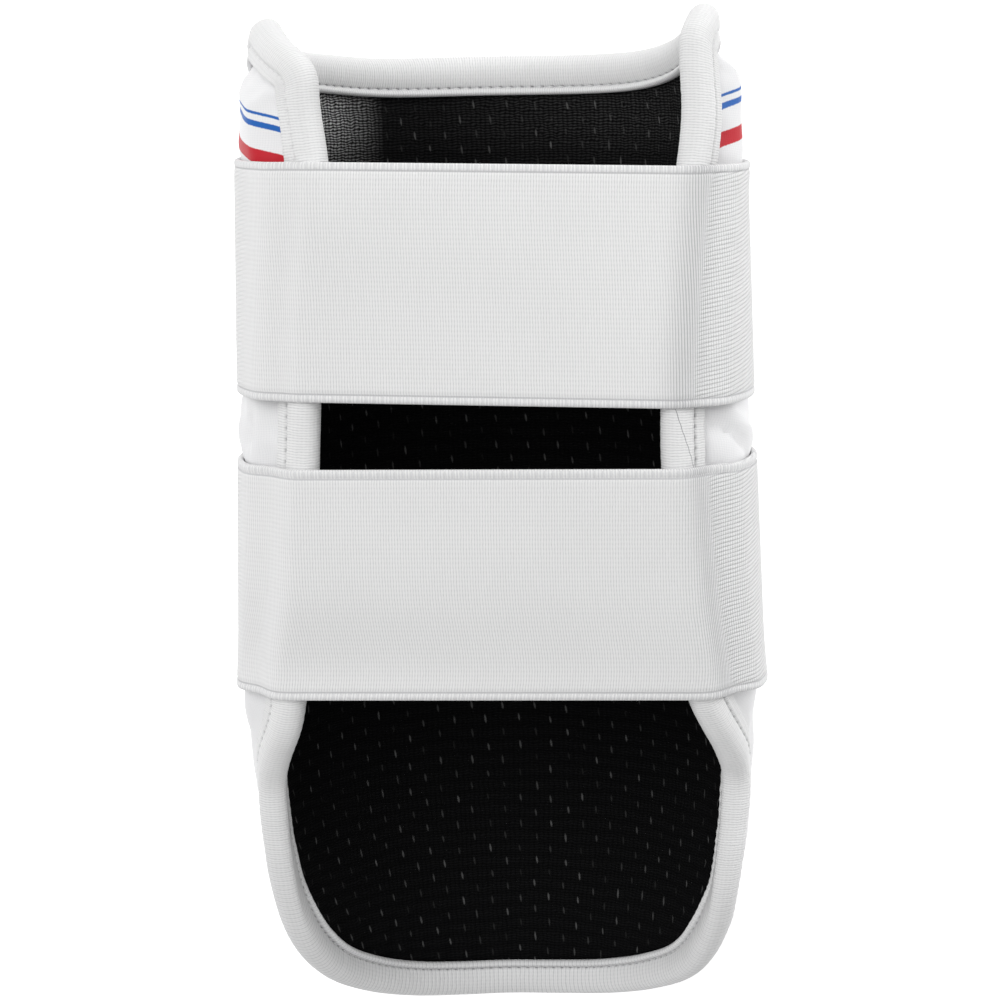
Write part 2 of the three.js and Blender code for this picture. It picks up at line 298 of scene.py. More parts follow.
def map_flat(piece, flat):
    """Writes flat places in millimetres into the piece's UV map, one for each point."""
    owner = np.empty(len(piece.data.loops), np.int32)
    piece.data.loops.foreach_get("vertex_index", owner)
    piece.data.uv_layers[0].name = "flat_mm"
    piece.data.uv_layers[0].uv.foreach_set("vector", flat[owner].astype(np.float32).ravel())


def mark_points(piece, title, values):
    """Writes one number for each point into a named attribute, for the material to read."""
    mark = piece.data.attributes.new(title, "FLOAT", "POINT")
    mark.data.foreach_set("value", values.astype(np.float32))


def apply_modifier(piece, kind, **values):
    """Adds a modifier with these values and applies it."""
    modifier = piece.modifiers.new(kind.lower(), kind)
    for name, value in values.items():
        setattr(modifier, name, value)
    bpy.context.view_layer.objects.active = piece
    bpy.ops.object.modifier_apply(modifier=modifier.name)


def give_second_face(piece, places):
    """Closes an open grid with a second face behind it, whose points lie at places."""
    count = len(piece.data.vertices)
    apply_modifier(piece, "SOLIDIFY", thickness=MM, offset=-1, use_even_offset=False)
    move_points(piece, places, count)


def turn_faces(piece):
    """Turns all faces of a piece round."""
    bpy.context.view_layer.objects.active = piece
    bpy.ops.object.mode_set(mode="EDIT")
    bpy.ops.mesh.select_all(action="SELECT")
    bpy.ops.mesh.flip_normals()
    bpy.ops.object.mode_set(mode="OBJECT")


def smooth_shade(piece, degrees=50):
    """Shades the piece smooth, with creases where faces meet more sharply than this."""
    bpy.ops.object.select_all(action="DESELECT")
    piece.select_set(True)
    bpy.context.view_layer.objects.active = piece
    bpy.ops.object.shade_smooth_by_angle(angle=math.radians(degrees))


def wave_noise(u, v, seed, pitch):
    """Soft uneven waves over flat places, mostly from -1 to 1, about one pitch apart."""
    dice = np.random.default_rng(seed)
    total = 0
    for _ in range(WAVE_COUNT):
        heading, start = dice.uniform(0, 2 * np.pi, 2)
        rate = 2 * np.pi / (pitch * dice.uniform(0.7, 1.5))
        total = total + np.sin(rate * (u * np.cos(heading) + v * np.sin(heading)) + start)
    return total / (WAVE_COUNT / 2)


print("helpers for cloth are ready")

# %% [markdown]
# ## Node helpers
#
# Materials are node trees. A few small helpers keep them readable: one adds a node and fills its sockets
# with values or links, one adds a Math node and hands back its result, and the others stand for steps that
# come back in every material, such as a ramp between two values or an even wave.

# %% Helpers: nodes
def fill_sockets(tree, node, sockets):
    """Fills a node's sockets with values or with links."""
    for name, value in sockets.items():
        if isinstance(value, bpy.types.NodeSocket):
            tree.links.new(value, node.inputs[name])
        else:
            node.inputs[name].default_value = value


def add_node(tree, kind, sockets=None, **settings):
    """Adds a shader node, sets its settings, and fills its sockets."""
    made = tree.nodes.new("ShaderNode" + kind)
    for name, value in settings.items():
        setattr(made, name, value)
    fill_sockets(tree, made, sockets or {})
    return made


def maths(tree, operation, *values):
    """Adds a Math node and returns its result."""
    return add_node(tree, "Math", dict(enumerate(values)), operation=operation).outputs[0]


def ramp(tree, value, low, high, first=0.0, last=1.0):
    """Maps a value that runs from low to high onto first to last, and holds it at both ends."""
    return add_node(tree, "MapRange", {0: value, 1: low, 2: high, 3: first, 4: last}).outputs[0]


def round_zero(tree, value, width):
    """Turns a value that runs from 0 to 1 into one that runs evenly round zero, over a width."""
    return maths(tree, "MULTIPLY", maths(tree, "SUBTRACT", value, 0.5), width)


def even_wave(tree, value, pitch):
    """A wave from 0 to 1, with its crests at whole pitches."""
    angle = maths(tree, "MULTIPLY", value, math.tau / pitch)
    return maths(tree, "MULTIPLY_ADD", maths(tree, "COSINE", angle), 0.5, 0.5)


def line_mask(tree, value, middle, half_width, soft_edge):
    """1 where a value lies within a half width of a middle, 0 further off."""
    off_middle = maths(tree, "ABSOLUTE", maths(tree, "SUBTRACT", value, middle))
    return ramp(tree, off_middle, half_width + soft_edge, half_width)


def grey(level, more_blue=0.0):
    """A grey colour, cooler with more blue."""
    return level, level, level + more_blue, 1


def blend_colours(tree, share, low, high):
    """Mixes two colours by a share and returns the colour."""
    made = add_node(tree, "Mix", {0: share, 6: low, 7: high}, data_type="RGBA")
    return made.outputs[2]


def new_finish(name):
    """Starts a material and returns it with its tree and the flat places in millimetres."""
    material = bpy.data.materials.new(name)
    material.use_nodes = True
    tree = material.node_tree
    return material, tree, add_node(tree, "UVMap", uv_map="flat_mm").outputs[0]


def set_surface(tree, colour, roughness, sheen, gloss):
    """Links colour and roughness to a material's shader, and sets its sheen and its gloss."""
    shader = tree.nodes["Principled BSDF"]
    tree.links.new(colour, shader.inputs["Base Color"])
    tree.links.new(roughness, shader.inputs["Roughness"])
    shader.inputs["Sheen Weight"].default_value = sheen
    shader.inputs["Specular IOR Level"].default_value = gloss


def set_relief(tree, height, strength, depth_mm):
    """Feeds a height through a Bump node into a material's shader, and returns the node."""
    bump = add_node(tree, "Bump", {"Height": height, "Strength": strength, "Distance": depth_mm * MM})
    tree.links.new(bump.outputs[0], tree.nodes["Principled BSDF"].inputs["Normal"])
    return bump


print("helpers for nodes are ready")

# %% [markdown]
# ## Woven threads and uneven cloth
#
# Every cloth on the guard shows ribs that cross fine rows, at different sizes, so the weave is one node
# group with a rib pitch and a row pitch. On the binding tape every second rib stands back a little, which
# the pair share sets. A Wave texture could draw ribs too, but a sine takes its pitch straight in
# millimetres. The second group makes soft patches and fibre specks, for the small differences of shade
# that any cloth has.

# %% Node groups: woven threads, uneven cloth
VECTOR, FLOAT = "NodeSocketVector", "NodeSocketFloat"
DRIFT_SCALE, DRIFT_DETAIL = 0.45, 3.0
RIB_ROUNDNESS, GROOVE_SHARPNESS = 0.6, 2.0
PATCH_DETAIL, FIBRE_SCALE, FIBRE_DETAIL = 4.0, 3.2, 2.0


def new_group(name, inputs, outputs):
    """Starts a node group with named float or vector sockets and returns its tree and its two ends."""
    tree = bpy.data.node_groups.new(name, "ShaderNodeTree")
    for socket, kind in inputs:
        tree.interface.new_socket(name=socket, in_out="INPUT", socket_type=kind)
    for socket in outputs:
        tree.interface.new_socket(name=socket, in_out="OUTPUT", socket_type=FLOAT)
    return tree, tree.nodes.new("NodeGroupInput"), tree.nodes.new("NodeGroupOutput")


def add_noise(tree, place, scale, detail):
    """Adds a Noise texture over a place and returns its value."""
    return add_node(tree, "TexNoise", {"Vector": place, "Scale": scale, "Detail": detail}).outputs[0]


woven_threads, given, handed = new_group(
    "woven_threads",
    [("Flat Place", VECTOR), ("Rib Pitch", FLOAT), ("Row Pitch", FLOAT), ("Row Share", FLOAT),
     ("Pair Share", FLOAT), ("Wander", FLOAT)],
    ["Height", "Groove"],
)
tree = woven_threads
drift = add_noise(tree, given.outputs["Flat Place"], DRIFT_SCALE, DRIFT_DETAIL)
drift = round_zero(tree, drift, given.outputs["Wander"])
place = add_node(tree, "SeparateXYZ", {0: given.outputs["Flat Place"]})
rib_turn = maths(tree, "DIVIDE", maths(tree, "ADD", place.outputs[0], drift), given.outputs["Rib Pitch"])
row_turn = maths(tree, "DIVIDE", maths(tree, "ADD", place.outputs[1], drift), given.outputs["Row Pitch"])
ribs = maths(tree, "ABSOLUTE", maths(tree, "SINE", maths(tree, "MULTIPLY", rib_turn, math.pi)))
ribs = maths(tree, "POWER", ribs, RIB_ROUNDNESS)
set_back = maths(tree, "MULTIPLY", even_wave(tree, rib_turn, 2), given.outputs["Pair Share"])
ribs = maths(tree, "MULTIPLY", ribs, maths(tree, "SUBTRACT", 1.0, set_back))
rows_part = maths(tree, "MULTIPLY", even_wave(tree, row_turn, 1), given.outputs["Row Share"])
ribs_part = maths(tree, "MULTIPLY", ribs, maths(tree, "SUBTRACT", 1.0, given.outputs["Row Share"]))
weave = maths(tree, "ADD", ribs_part, rows_part)
# Groove: where the materials paint shade between the threads, as painted shade in the weave's grooves.
groove = maths(tree, "POWER", maths(tree, "SUBTRACT", 1.0, weave), GROOVE_SHARPNESS)
tree.links.new(weave, handed.inputs["Height"])
tree.links.new(groove, handed.inputs["Groove"])

uneven_cloth, given, handed = new_group(
    "uneven_cloth", [("Flat Place", VECTOR), ("Patch Size", FLOAT)], ["Patches", "Fibres"]
)
tree = uneven_cloth
patch_scale = maths(tree, "DIVIDE", 1.0, given.outputs["Patch Size"])
patches = add_noise(tree, given.outputs["Flat Place"], patch_scale, PATCH_DETAIL)
fibres = add_noise(tree, given.outputs["Flat Place"], FIBRE_SCALE, FIBRE_DETAIL)
tree.links.new(patches, handed.inputs["Patches"])
tree.links.new(fibres, handed.inputs["Fibres"])
print("node groups:", woven_threads.name, uneven_cloth.name)


def place_group(tree, group, **sockets):
    """Places a node group in a material and fills its sockets."""
    made = tree.nodes.new("ShaderNodeGroup")
    made.node_tree = group
    fill_sockets(tree, made, {name.replace("_", " "): value for name, value in sockets.items()})
    return made


# %% [markdown]
# ## Cover cloth
#
# The cover is a smooth, fine white knit with a little sheen. Its print is kept plain: on the outer sides
# near the lobes, two thin blue stripes and a red one cross the cover at a slant. Straight stripes are easy
# to lay out in flat places: along a slanted direction, each is a band of a given middle and width.

# %% Material: cover knit with plain stripes
COVER_WEAVE = {"Rib_Pitch": 0.42, "Row_Pitch": 0.36, "Row_Share": 0.5, "Pair_Share": 0.0, "Wander": 0.5}
COVER_PATCH, COVER_FUZZ = 26.0, 0.35
BLUE, RED = (0.008, 0.11, 0.42, 1), (0.5, 0.008, 0.02, 1)
STRIPES = [
    # middle and half width along the slanted direction, colour
    (119.4, 0.3, BLUE), (117.2, 0.62, BLUE), (110.6, 1.5, RED),
]
STRIPE_SLANT, STRIPE_DRIFT, STRIPE_BLUR = 0.3, 0.25, 0.2
STRIPES_FROM = 46.0

cover_finish, tree, flat = new_finish("cover_white_knit")
weave = place_group(tree, woven_threads, Flat_Place=flat, **COVER_WEAVE)
soft = place_group(tree, uneven_cloth, Flat_Place=flat, Patch_Size=COVER_PATCH)
place = add_node(tree, "SeparateXYZ", {0: flat})
reach = maths(tree, "ABSOLUTE", place.outputs[0])
slant = maths(tree, "MULTIPLY_ADD", reach, STRIPE_SLANT, place.outputs[1])
slant = maths(tree, "ADD", slant, round_zero(tree, soft.outputs["Fibres"], STRIPE_DRIFT))
white = blend_colours(tree, soft.outputs["Patches"], grey(0.76, 0.01), grey(0.82))
# Painted shade: the white is darker in the grooves of the weave.
colour = blend_colours(tree, weave.outputs["Groove"], white, grey(0.68, 0.02))
on_side = ramp(tree, reach, STRIPES_FROM, STRIPES_FROM + 1)
for middle, half_width, stripe_colour in STRIPES:
    band = line_mask(tree, slant, middle, half_width - STRIPE_BLUR / 2, STRIPE_BLUR)
    colour = blend_colours(tree, maths(tree, "MULTIPLY", band, on_side), colour, stripe_colour)
set_surface(tree, colour, ramp(tree, soft.outputs["Patches"], 0, 1, 0.5, 0.66), sheen=0.05, gloss=0.3)
relief = maths(tree, "MULTIPLY_ADD", soft.outputs["Fibres"], COVER_FUZZ, weave.outputs["Height"])
set_relief(tree, relief, strength=0.25, depth_mm=0.1)
print("finish:", cover_finish.name, "with", len(STRIPES), "stripes")

# %% [markdown]
# ## Lining mesh
#
# The lining is a black knit with staggered rows of small slits, where the pale backing shows through. The
# slits could be cut as holes, but there are over a thousand, each under two millimetres long, so they are
# drawn by the material: flat places are cut into cells, every second row is shifted by half a cell, and an
# ellipse in each cell marks its slit. A random number for each cell makes some slits paler than others,
# and a low ridge in every row gives the knit its cords, with painted shade in the grooves between them.
# Towards the lobes the knit's threads are painted paler, as painted light, most of all on the left.

# %% Material: black mesh lining
LINING_WEAVE = {"Rib_Pitch": 1.1, "Row_Pitch": 0.62, "Row_Share": 0.6, "Pair_Share": 0.0, "Wander": 1.4}
LINING_PATCH = 18.0
SLIT_PITCH, SLIT_ROW = 7.0, 3.1
SLIT_HALF_WIDTH, SLIT_HALF_LENGTH, SLIT_LEAN = 0.24, 0.85, 0.13
ROW_SWAY, SLIT_JITTER = 5.0, 0.7
SLIT_OUTSIDE, SLIT_INSIDE = 1.5, 0.4
SLIT_PALENESS, SLIT_DEPTH = 1.5, 1.5
KNIT_LIGHT, CORD_SHADE, CORD_DEPTH = 1.4, 0.35, -0.8
PAINTED_LIGHT_ALONG = (78.0, 90.0)
PAINTED_LIGHT_LEFT = (-25.0, -40.0, 0.02, 1.0)
PAINTED_LIGHT_RIGHT = (-15.0, 25.0, 0.02, 0.06)
PAINTED_LIGHT_SHARPNESS = 3.0

lining_finish, tree, flat = new_finish("lining_black_mesh")
soft = place_group(tree, uneven_cloth, Flat_Place=flat, Patch_Size=LINING_PATCH)
weave = place_group(tree, woven_threads, Flat_Place=flat, **LINING_WEAVE)
threads = weave.outputs["Height"]
place = add_node(tree, "SeparateXYZ", {0: flat})
swayed = maths(tree, "ADD", place.outputs[1], round_zero(tree, soft.outputs["Patches"], ROW_SWAY))
row_place = maths(tree, "DIVIDE", swayed, SLIT_ROW)
row = maths(tree, "FLOOR", row_place)
shift = maths(tree, "MULTIPLY", maths(tree, "FLOORED_MODULO", row, 2.0), 0.5)
column_place = maths(tree, "ADD", maths(tree, "DIVIDE", place.outputs[0], SLIT_PITCH), shift)
cell = add_node(tree, "CombineXYZ", {0: maths(tree, "FLOOR", column_place), 1: row})
dice = add_node(tree, "TexWhiteNoise", {"Vector": cell.outputs[0]}, noise_dimensions="3D")
dice_parts = add_node(tree, "SeparateXYZ", {0: dice.outputs["Color"]})
in_row = round_zero(tree, maths(tree, "FRACT", row_place), SLIT_ROW)
in_column = round_zero(tree, maths(tree, "FRACT", column_place), SLIT_PITCH)
sideways = maths(tree, "MULTIPLY_ADD", in_row, SLIT_LEAN, in_column)
sideways = maths(tree, "ADD", sideways, round_zero(tree, dice_parts.outputs[0], SLIT_JITTER))
wide = maths(tree, "POWER", maths(tree, "DIVIDE", sideways, SLIT_HALF_WIDTH), 2.0)
tall = maths(tree, "POWER", maths(tree, "DIVIDE", in_row, SLIT_HALF_LENGTH), 2.0)
slit = ramp(tree, maths(tree, "ADD", wide, tall), SLIT_OUTSIDE, SLIT_INSIDE)
print("slits every", SLIT_PITCH, "mm in rows", SLIT_ROW, "mm apart")

# %% Material: shades and relief of the lining
cord = even_wave(tree, row_place, 1)
lit = maths(tree, "MULTIPLY", maths(tree, "MULTIPLY", threads, soft.outputs["Fibres"]), KNIT_LIGHT)
knit = blend_colours(tree, lit, grey(0.0005, 0.0001), grey(0.008, 0.0005))
# Painted shade: the knit is darker in the grooves between its cords.
knit = blend_colours(tree, maths(tree, "MULTIPLY", cord, CORD_SHADE), knit, grey(0.0008, 0.0001))
paleness = maths(tree, "POWER", dice_parts.outputs[1], SLIT_PALENESS)
colour = blend_colours(tree, slit, knit, blend_colours(tree, paleness, grey(0.012), grey(0.085)))
# Painted light: the knit's threads are painted paler towards the lobes, most of all on the left.
toward_left = ramp(tree, place.outputs[0], *PAINTED_LIGHT_LEFT)
toward_right = ramp(tree, place.outputs[0], *PAINTED_LIGHT_RIGHT)
painted_light = maths(tree, "MAXIMUM", toward_left, toward_right)
painted_light = maths(tree, "MULTIPLY", ramp(tree, place.outputs[1], *PAINTED_LIGHT_ALONG), painted_light)
painted_light = maths(tree, "MULTIPLY", painted_light, maths(tree, "POWER", threads, PAINTED_LIGHT_SHARPNESS))
colour = blend_colours(tree, painted_light, colour, grey(0.6))
set_surface(tree, colour, ramp(tree, threads, 0, 1, 0.95, 0.75), sheen=0.0, gloss=0.05)
relief = maths(tree, "SUBTRACT", threads, maths(tree, "MULTIPLY", slit, SLIT_DEPTH))
set_relief(tree, maths(tree, "MULTIPLY_ADD", cord, CORD_DEPTH, relief), strength=0.6, depth_mm=0.3)
print("finish:", lining_finish.name)

# %% [markdown]
# ## Tape, elastic, hook tabs and thread
#
# The other cloths share one recipe: a weave group for relief, painted shade in its grooves, and soft
# patches. Only pitches, colours and strengths differ, so one function makes them. On the tape the ribs run
# straight across its width, and round the tongue every second one stands back further. Its seams need one
# thing more: the needle leaves a row of small dark holes, and they follow an attribute of the mesh that is
# 1 in the sewn groove.

# %% Materials: ribbed tape, hook tape, thread
WOVEN_PATCH, WOVEN_FUZZ, DUSK = 15.0, 0.4, 0.96
STITCH_PITCH = 2.4


def woven_finish(name, pitches, shares, wander, pale, dark, relief_mm, strength):
    """Makes a woven tape's material from its pitches, row and pair shares, shades and relief."""
    material, tree, flat = new_finish(name)
    weave = place_group(
        tree, woven_threads, Flat_Place=flat, Rib_Pitch=pitches[0], Row_Pitch=pitches[1],
        Row_Share=shares[0], Pair_Share=shares[1], Wander=wander,
    )
    soft = place_group(tree, uneven_cloth, Flat_Place=flat, Patch_Size=WOVEN_PATCH)
    dusk = tuple(DUSK * part for part in pale[:3]) + (1,)
    ground = blend_colours(tree, soft.outputs["Patches"], dusk, pale)
    # Painted shade: the colour goes towards the dark grey in the grooves of the weave.
    colour = blend_colours(tree, weave.outputs["Groove"], ground, dark)
    set_surface(tree, colour, ramp(tree, soft.outputs["Fibres"], 0, 1, 0.72, 0.95), sheen=0.04, gloss=0.2)
    relief = maths(tree, "MULTIPLY_ADD", soft.outputs["Fibres"], WOVEN_FUZZ, weave.outputs["Height"])
    bump = set_relief(tree, relief, strength, relief_mm)
    print("finish:", name)
    return material, weave, colour, bump


def shade_over(tree, colour, mask, tint):
    """Lays a tint over a finish where a mask is set, and returns the new colour."""
    colour = blend_colours(tree, mask, colour, tint)
    tree.links.new(colour, tree.nodes["Principled BSDF"].inputs["Base Color"])
    return colour


def flat_parts(tree):
    """The two numbers of the flat place, one socket for each."""
    place = add_node(tree, "SeparateXYZ", {0: add_node(tree, "UVMap", uv_map="flat_mm").outputs[0]})
    return place.outputs[0], place.outputs[1]


def read_mark(tree, title):
    """Reads an attribute of the mesh."""
    return add_node(tree, "Attribute", attribute_name=title).outputs["Fac"]


tape_finish, tape_weave, tape_colour, _ = woven_finish(
    "binding_ribbed_tape", (0.58, 0.9), (0.12, 0.15), 0.5, grey(0.8), grey(0.52, 0.01), 0.2, 0.5)
tree = tape_finish.node_tree
tape_run, tape_span = flat_parts(tree)
near_tongue = even_wave(tree, maths(tree, "SUBTRACT", tape_run, TONGUE_MIDDLE), EDGE_LENGTH)
tree.links.new(ramp(tree, near_tongue, 0.8, 0.95, 0.15, 0.75), tape_weave.inputs["Pair Share"])
hole = ramp(tree, even_wave(tree, tape_run, STITCH_PITCH), 0.6, 0.95, 0.3, 1.0)
in_hole = maths(tree, "MULTIPLY", read_mark(tree, "seam"), hole)
tape_colour = shade_over(tree, tape_colour, in_hole, grey(0.1, 0.01))

tab_finish, *_ = woven_finish(
    "tab_hook_tape", (1.1, 1.1), (0.5, 0.0), 0.3, grey(0.74), grey(0.5, 0.02), 0.3, 0.7)
thread_finish, *_ = woven_finish(
    "sewing_thread", (0.25, 0.5), (0.1, 0.0), 0.1, grey(0.8), grey(0.6, 0.02), 0.1, 0.5)

# %% [markdown]
# ## Elastic
#
# The elastic is the same recipe with more to it. A narrow selvedge along both edges has coarser ribs and
# a fine dark line beside it, painted shade in the strap's groove. Past the folds the elastic is slack, and
# its rows stand up as slanted ridges with painted shade in the grooves between them. On the right fold the
# ribs are painted darker, as painted shade. Two attributes of the straps' meshes say where the slack and the
# fold lie, so the pattern follows each strap however it is bent.

# %% Material: woven elastic
ELASTIC_RIB, SELVEDGE_RIB = 0.58, 0.87
STRAP_MIDDLE, SELVEDGE_MIDDLE, SELVEDGE_HALF, GROOVE_SHADE_LINE = 25.1, 24.2, 0.75, 23.3
SLACK_SLANT, SLACK_PITCH, SLACK_SHARPNESS = -0.15, 0.88, 3.0
SLACK_SHADE, SLACK_RELIEF = 0.45, -1.3

elastic_finish, _, colour, bump = woven_finish(
    "strap_woven_elastic", (ELASTIC_RIB, 1.0), (0.18, 0.0), 0.25, grey(0.8), grey(0.48, 0.01), 0.18, 0.6)
tree = elastic_finish.node_tree
run, span = flat_parts(tree)
from_middle = maths(tree, "ABSOLUTE", maths(tree, "SUBTRACT", span, STRAP_MIDDLE))
in_selvedge = line_mask(tree, from_middle, SELVEDGE_MIDDLE, SELVEDGE_HALF, 0.15)
selvedge_ribs = ramp(tree, even_wave(tree, run, SELVEDGE_RIB), 0.55, 0.95)
colour = shade_over(tree, colour, maths(tree, "MULTIPLY", in_selvedge, selvedge_ribs), grey(0.65, 0.01))
# Painted shade: a fine dark line in the strap's groove beside the selvedge.
colour = shade_over(tree, colour, line_mask(tree, from_middle, GROOVE_SHADE_LINE, 0.1, 0.15), grey(0.55, 0.01))
slant = maths(tree, "MULTIPLY_ADD", run, SLACK_SLANT, span)
slack = maths(tree, "MULTIPLY", read_mark(tree, "wrap"), maths(tree, "SUBTRACT", 1.0, in_selvedge))
groove = maths(tree, "POWER", even_wave(tree, slant, SLACK_PITCH), SLACK_SHARPNESS)
groove = maths(tree, "MULTIPLY", slack, groove)
# Painted shade: the grooves between the slack rows are darker.
colour = shade_over(tree, colour, maths(tree, "MULTIPLY", groove, SLACK_SHADE), grey(0.5, 0.01))
# Painted shade: the ribs on the right fold are darker.
fold_shade_ribs = ramp(tree, even_wave(tree, run, ELASTIC_RIB), 0.4, 1.0, 0.3, 0.95)
fold_shade = maths(tree, "MULTIPLY", read_mark(tree, "fold"), fold_shade_ribs)
colour = shade_over(tree, colour, fold_shade, grey(0.42, 0.01))
flat_relief = bump.inputs["Height"].links[0].from_socket
raised = maths(tree, "MULTIPLY_ADD", groove, SLACK_RELIEF, flat_relief)
tree.links.new(raised, bump.inputs["Height"])


def dress(piece, finish, slot_name, *nodes):
    """Gives a piece its material, lets it ride, and hides the nodes it stands for. The slot name is not
    used.
    """
    piece.data.materials.clear()
    piece.data.materials.append(finish)
    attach(piece, "root")
    if nodes:
        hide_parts(*nodes)
    triangles = sum(len(face.vertices) - 2 for face in piece.data.polygons)
    print("piece:", piece.name, triangles, "triangles")


print("slack rows every", SLACK_PITCH, "mm, ribs every", ELASTIC_RIB, "mm")

# %% [markdown]
# ## Wrinkles of the cover
#
# The cover is pressed thin under the tape and swells to its full thickness further in. A real cover is cut
# a little larger than the foam, so it wrinkles between its seams. A cloth simulation finds these wrinkles:
# a coarse copy of the outer face is held where the tape and the straps hold it and where the guard lies on
# the table, it grows by a small share, and slight pressure keeps it off the foam. What is kept is how far
# each point moved outwards, capped, so the finer cover can take it over.

# %% Cloth simulation of the outer face
PAD_INNER, PAD_EDGE_OUTER, PAD_PUFF = 1.8, 3.4, 4.5
PUFF_START, PUFF_LENGTH = 8.6, 7.0
STRAPS = [
    # name, width, middle on the left flap, middle on the right flap
    ("upper", 50.0, 60.7, 58.0), ("lower", 50.4, -3.8, -4.8),
]
STRAP_END, STRAP_END_SOFT = 42.0, 8
PRESS_INSIDE, PRESS_OUTSIDE = 1.2, 0.8
SIM_COLUMNS, SIM_ROWS, SIM_FRAMES, WRINKLE_CAP = 80, 112, 16, 1.6
HELD_BY_TAPE, HELD_BY_STRAPS, HELD_BY_TABLE = (7.5, 10), (0.3, 0.9), (12, 26)
CLOTH_STIFFNESS, CLOTH_GROWTH, CLOTH_PRESSURE = 5.0, 0.015, 1.5


def under_straps(flat):
    """1 where a strap lies on the flaps, 0 elsewhere, with a soft edge."""
    around, along = flat[:, 0], flat[:, 1]
    pressed = np.zeros(len(flat))
    for _, width, left, right in STRAPS:
        off_middle = np.abs(along - np.where(around < 0, left, right))
        off_strap = smooth_step(off_middle, width / 2 - PRESS_INSIDE, width / 2 + PRESS_OUTSIDE)
        pressed = np.maximum(pressed, 1 - off_strap)
    return pressed * smooth_step(np.abs(around), STRAP_END - STRAP_END_SOFT, STRAP_END)


def cover_rise(depth):
    """Height of the smooth cover over the lining's face at a depth from the bound edge."""
    return PAD_EDGE_OUTER + PAD_PUFF * smooth_step(depth, PUFF_START, PUFF_START + PUFF_LENGTH)


def simulate_wrinkles():
    """Grid of outward moves in millimetres, from a cloth that is held at its seams and grows a little."""
    flat = fill_outline(SIM_COLUMNS, SIM_ROWS, WALL_INSET)
    depth, _ = nearest_edge(flat)
    start = wall_point(*flat.T, cover_rise(depth))
    outward = wall_point(*flat.T, cover_rise(depth) + 1) - start
    outward /= np.maximum(np.linalg.norm(outward, axis=1, keepdims=True), 1e-9)
    by_tape = 1 - smooth_step(depth, *HELD_BY_TAPE)
    by_straps = smooth_step(under_straps(flat), *HELD_BY_STRAPS)
    by_table = 1 - smooth_step(np.abs(flat[:, 0]), *HELD_BY_TABLE)
    held = np.maximum(np.maximum(by_tape, by_straps), by_table)
    sheet = add_grid("cover_rehearsal", SIM_COLUMNS, SIM_ROWS)
    move_points(sheet, start)
    turn_faces(sheet)
    sewn = sheet.vertex_groups.new(name="sewn")
    for index, weight in enumerate(held):
        sewn.add([index], float(weight), "REPLACE")
    cloth = sheet.modifiers.new("cloth", "CLOTH")
    cloth.settings.vertex_group_mass = "sewn"
    cloth.settings.bending_stiffness = CLOTH_STIFFNESS
    cloth.settings.shrink_min = -CLOTH_GROWTH
    cloth.settings.use_pressure = True
    cloth.settings.uniform_pressure_force = CLOTH_PRESSURE
    cloth.settings.effector_weights.gravity = 0
    cloth.collision_settings.use_collision = False
    cloth.point_cache.frame_end = SIM_FRAMES
    for frame_number in range(1, SIM_FRAMES + 1):
        bpy.context.scene.frame_set(frame_number)
    bpy.ops.object.modifier_apply(modifier=cloth.name)
    ended = np.empty(3 * len(sheet.data.vertices), np.float32)
    sheet.data.vertices.foreach_get("co", ended)
    bpy.data.objects.remove(sheet)
    bpy.context.scene.frame_set(1)
    moved = ((ended.reshape(-1, 3) - start) * outward).sum(1) / MM
    return np.clip(moved, -WRINKLE_CAP, WRINKLE_CAP).reshape(SIM_ROWS + 1, SIM_COLUMNS + 1)


def refine(values, columns, rows):
    """The same grid of values with more columns and rows, softened a little."""
    for _ in range(2):
        wide = np.pad(values, 1, mode="edge")
        beside = wide[:-2, 1:-1] + wide[2:, 1:-1] + wide[1:-1, :-2] + wide[1:-1, 2:]
        values = values / 2 + beside / 8
    old_rows, old_columns = np.arange(values.shape[0]), np.arange(values.shape[1])
    new_rows = np.linspace(0, old_rows[-1], rows + 1)
    new_columns = np.linspace(0, old_columns[-1], columns + 1)
    values = np.array([np.interp(new_columns, old_columns, line) for line in values])
    return np.array([np.interp(new_rows, old_rows, line) for line in values.T]).T.ravel()


wrinkles = np.zeros(len(cover_flat))
wrinkles = refine(simulate_wrinkles(), COVER_COLUMNS, COVER_ROWS)
print("wrinkles in mm, lowest and highest:", round(wrinkles.min(), 2), round(wrinkles.max(), 2))

# %% [markdown]
# ## Padded cover
#
# The finer cover takes over the wrinkles. Two short tables add what the photograph shows at single places.
# The first holds soft bulges and hollows: the cover bulges in the windows between the straps, and it is
# drawn in beside the lobes and at the sides of the tongue. The second holds single creases and ridges in
# those windows and below the lower strap. Everything is added to the height of the outer face before the
# points are bent into the C shape. The straps hold the cover down, so it stays smooth under them.

# %% Piece: padded cover
BULGES = [
    # around, along, half size around, half size along, lift
    (-64, 28.5, 18, 14, 0.3), (68, 26.5, 14, 14, 0.4), (66, -39, 15, 8, -1.8), (-66, -43, 12, 7, -0.8),
    (66, 92, 15, 6, -1.0), (-66, 98, 14, 4.5, -1.0), (-66, 107, 12, 4, 0.5), (-66, 88, 12, 3.5, 0.4),
    (62, -57, 16, 14, -0.6), (-62, -60, 16, 12, -0.6), (79, 31, 5, 3.5, -1.6),
]
CREASES = [
    # two ends as around and along, half width, lift
    ((89, 33), (74, 21.5), 0.8, -1.8), ((84, 33.5), (69, 23.5), 1.6, 1.4), ((88, 28), (82, 20), 1.4, 1.2),
    ((-84, 34), (-78, 22), 0.8, -1.2), ((-76, 35), (-73, 22), 0.9, -1.4), ((-69, 35), (-71, 22), 1.2, 1.0),
    ((74, -33), (62, -48), 2.0, 1.0), ((79, -36), (66, -55), 1.6, -1.2),
    ((-76, -34), (-64, -50), 1.8, -1.1),
]
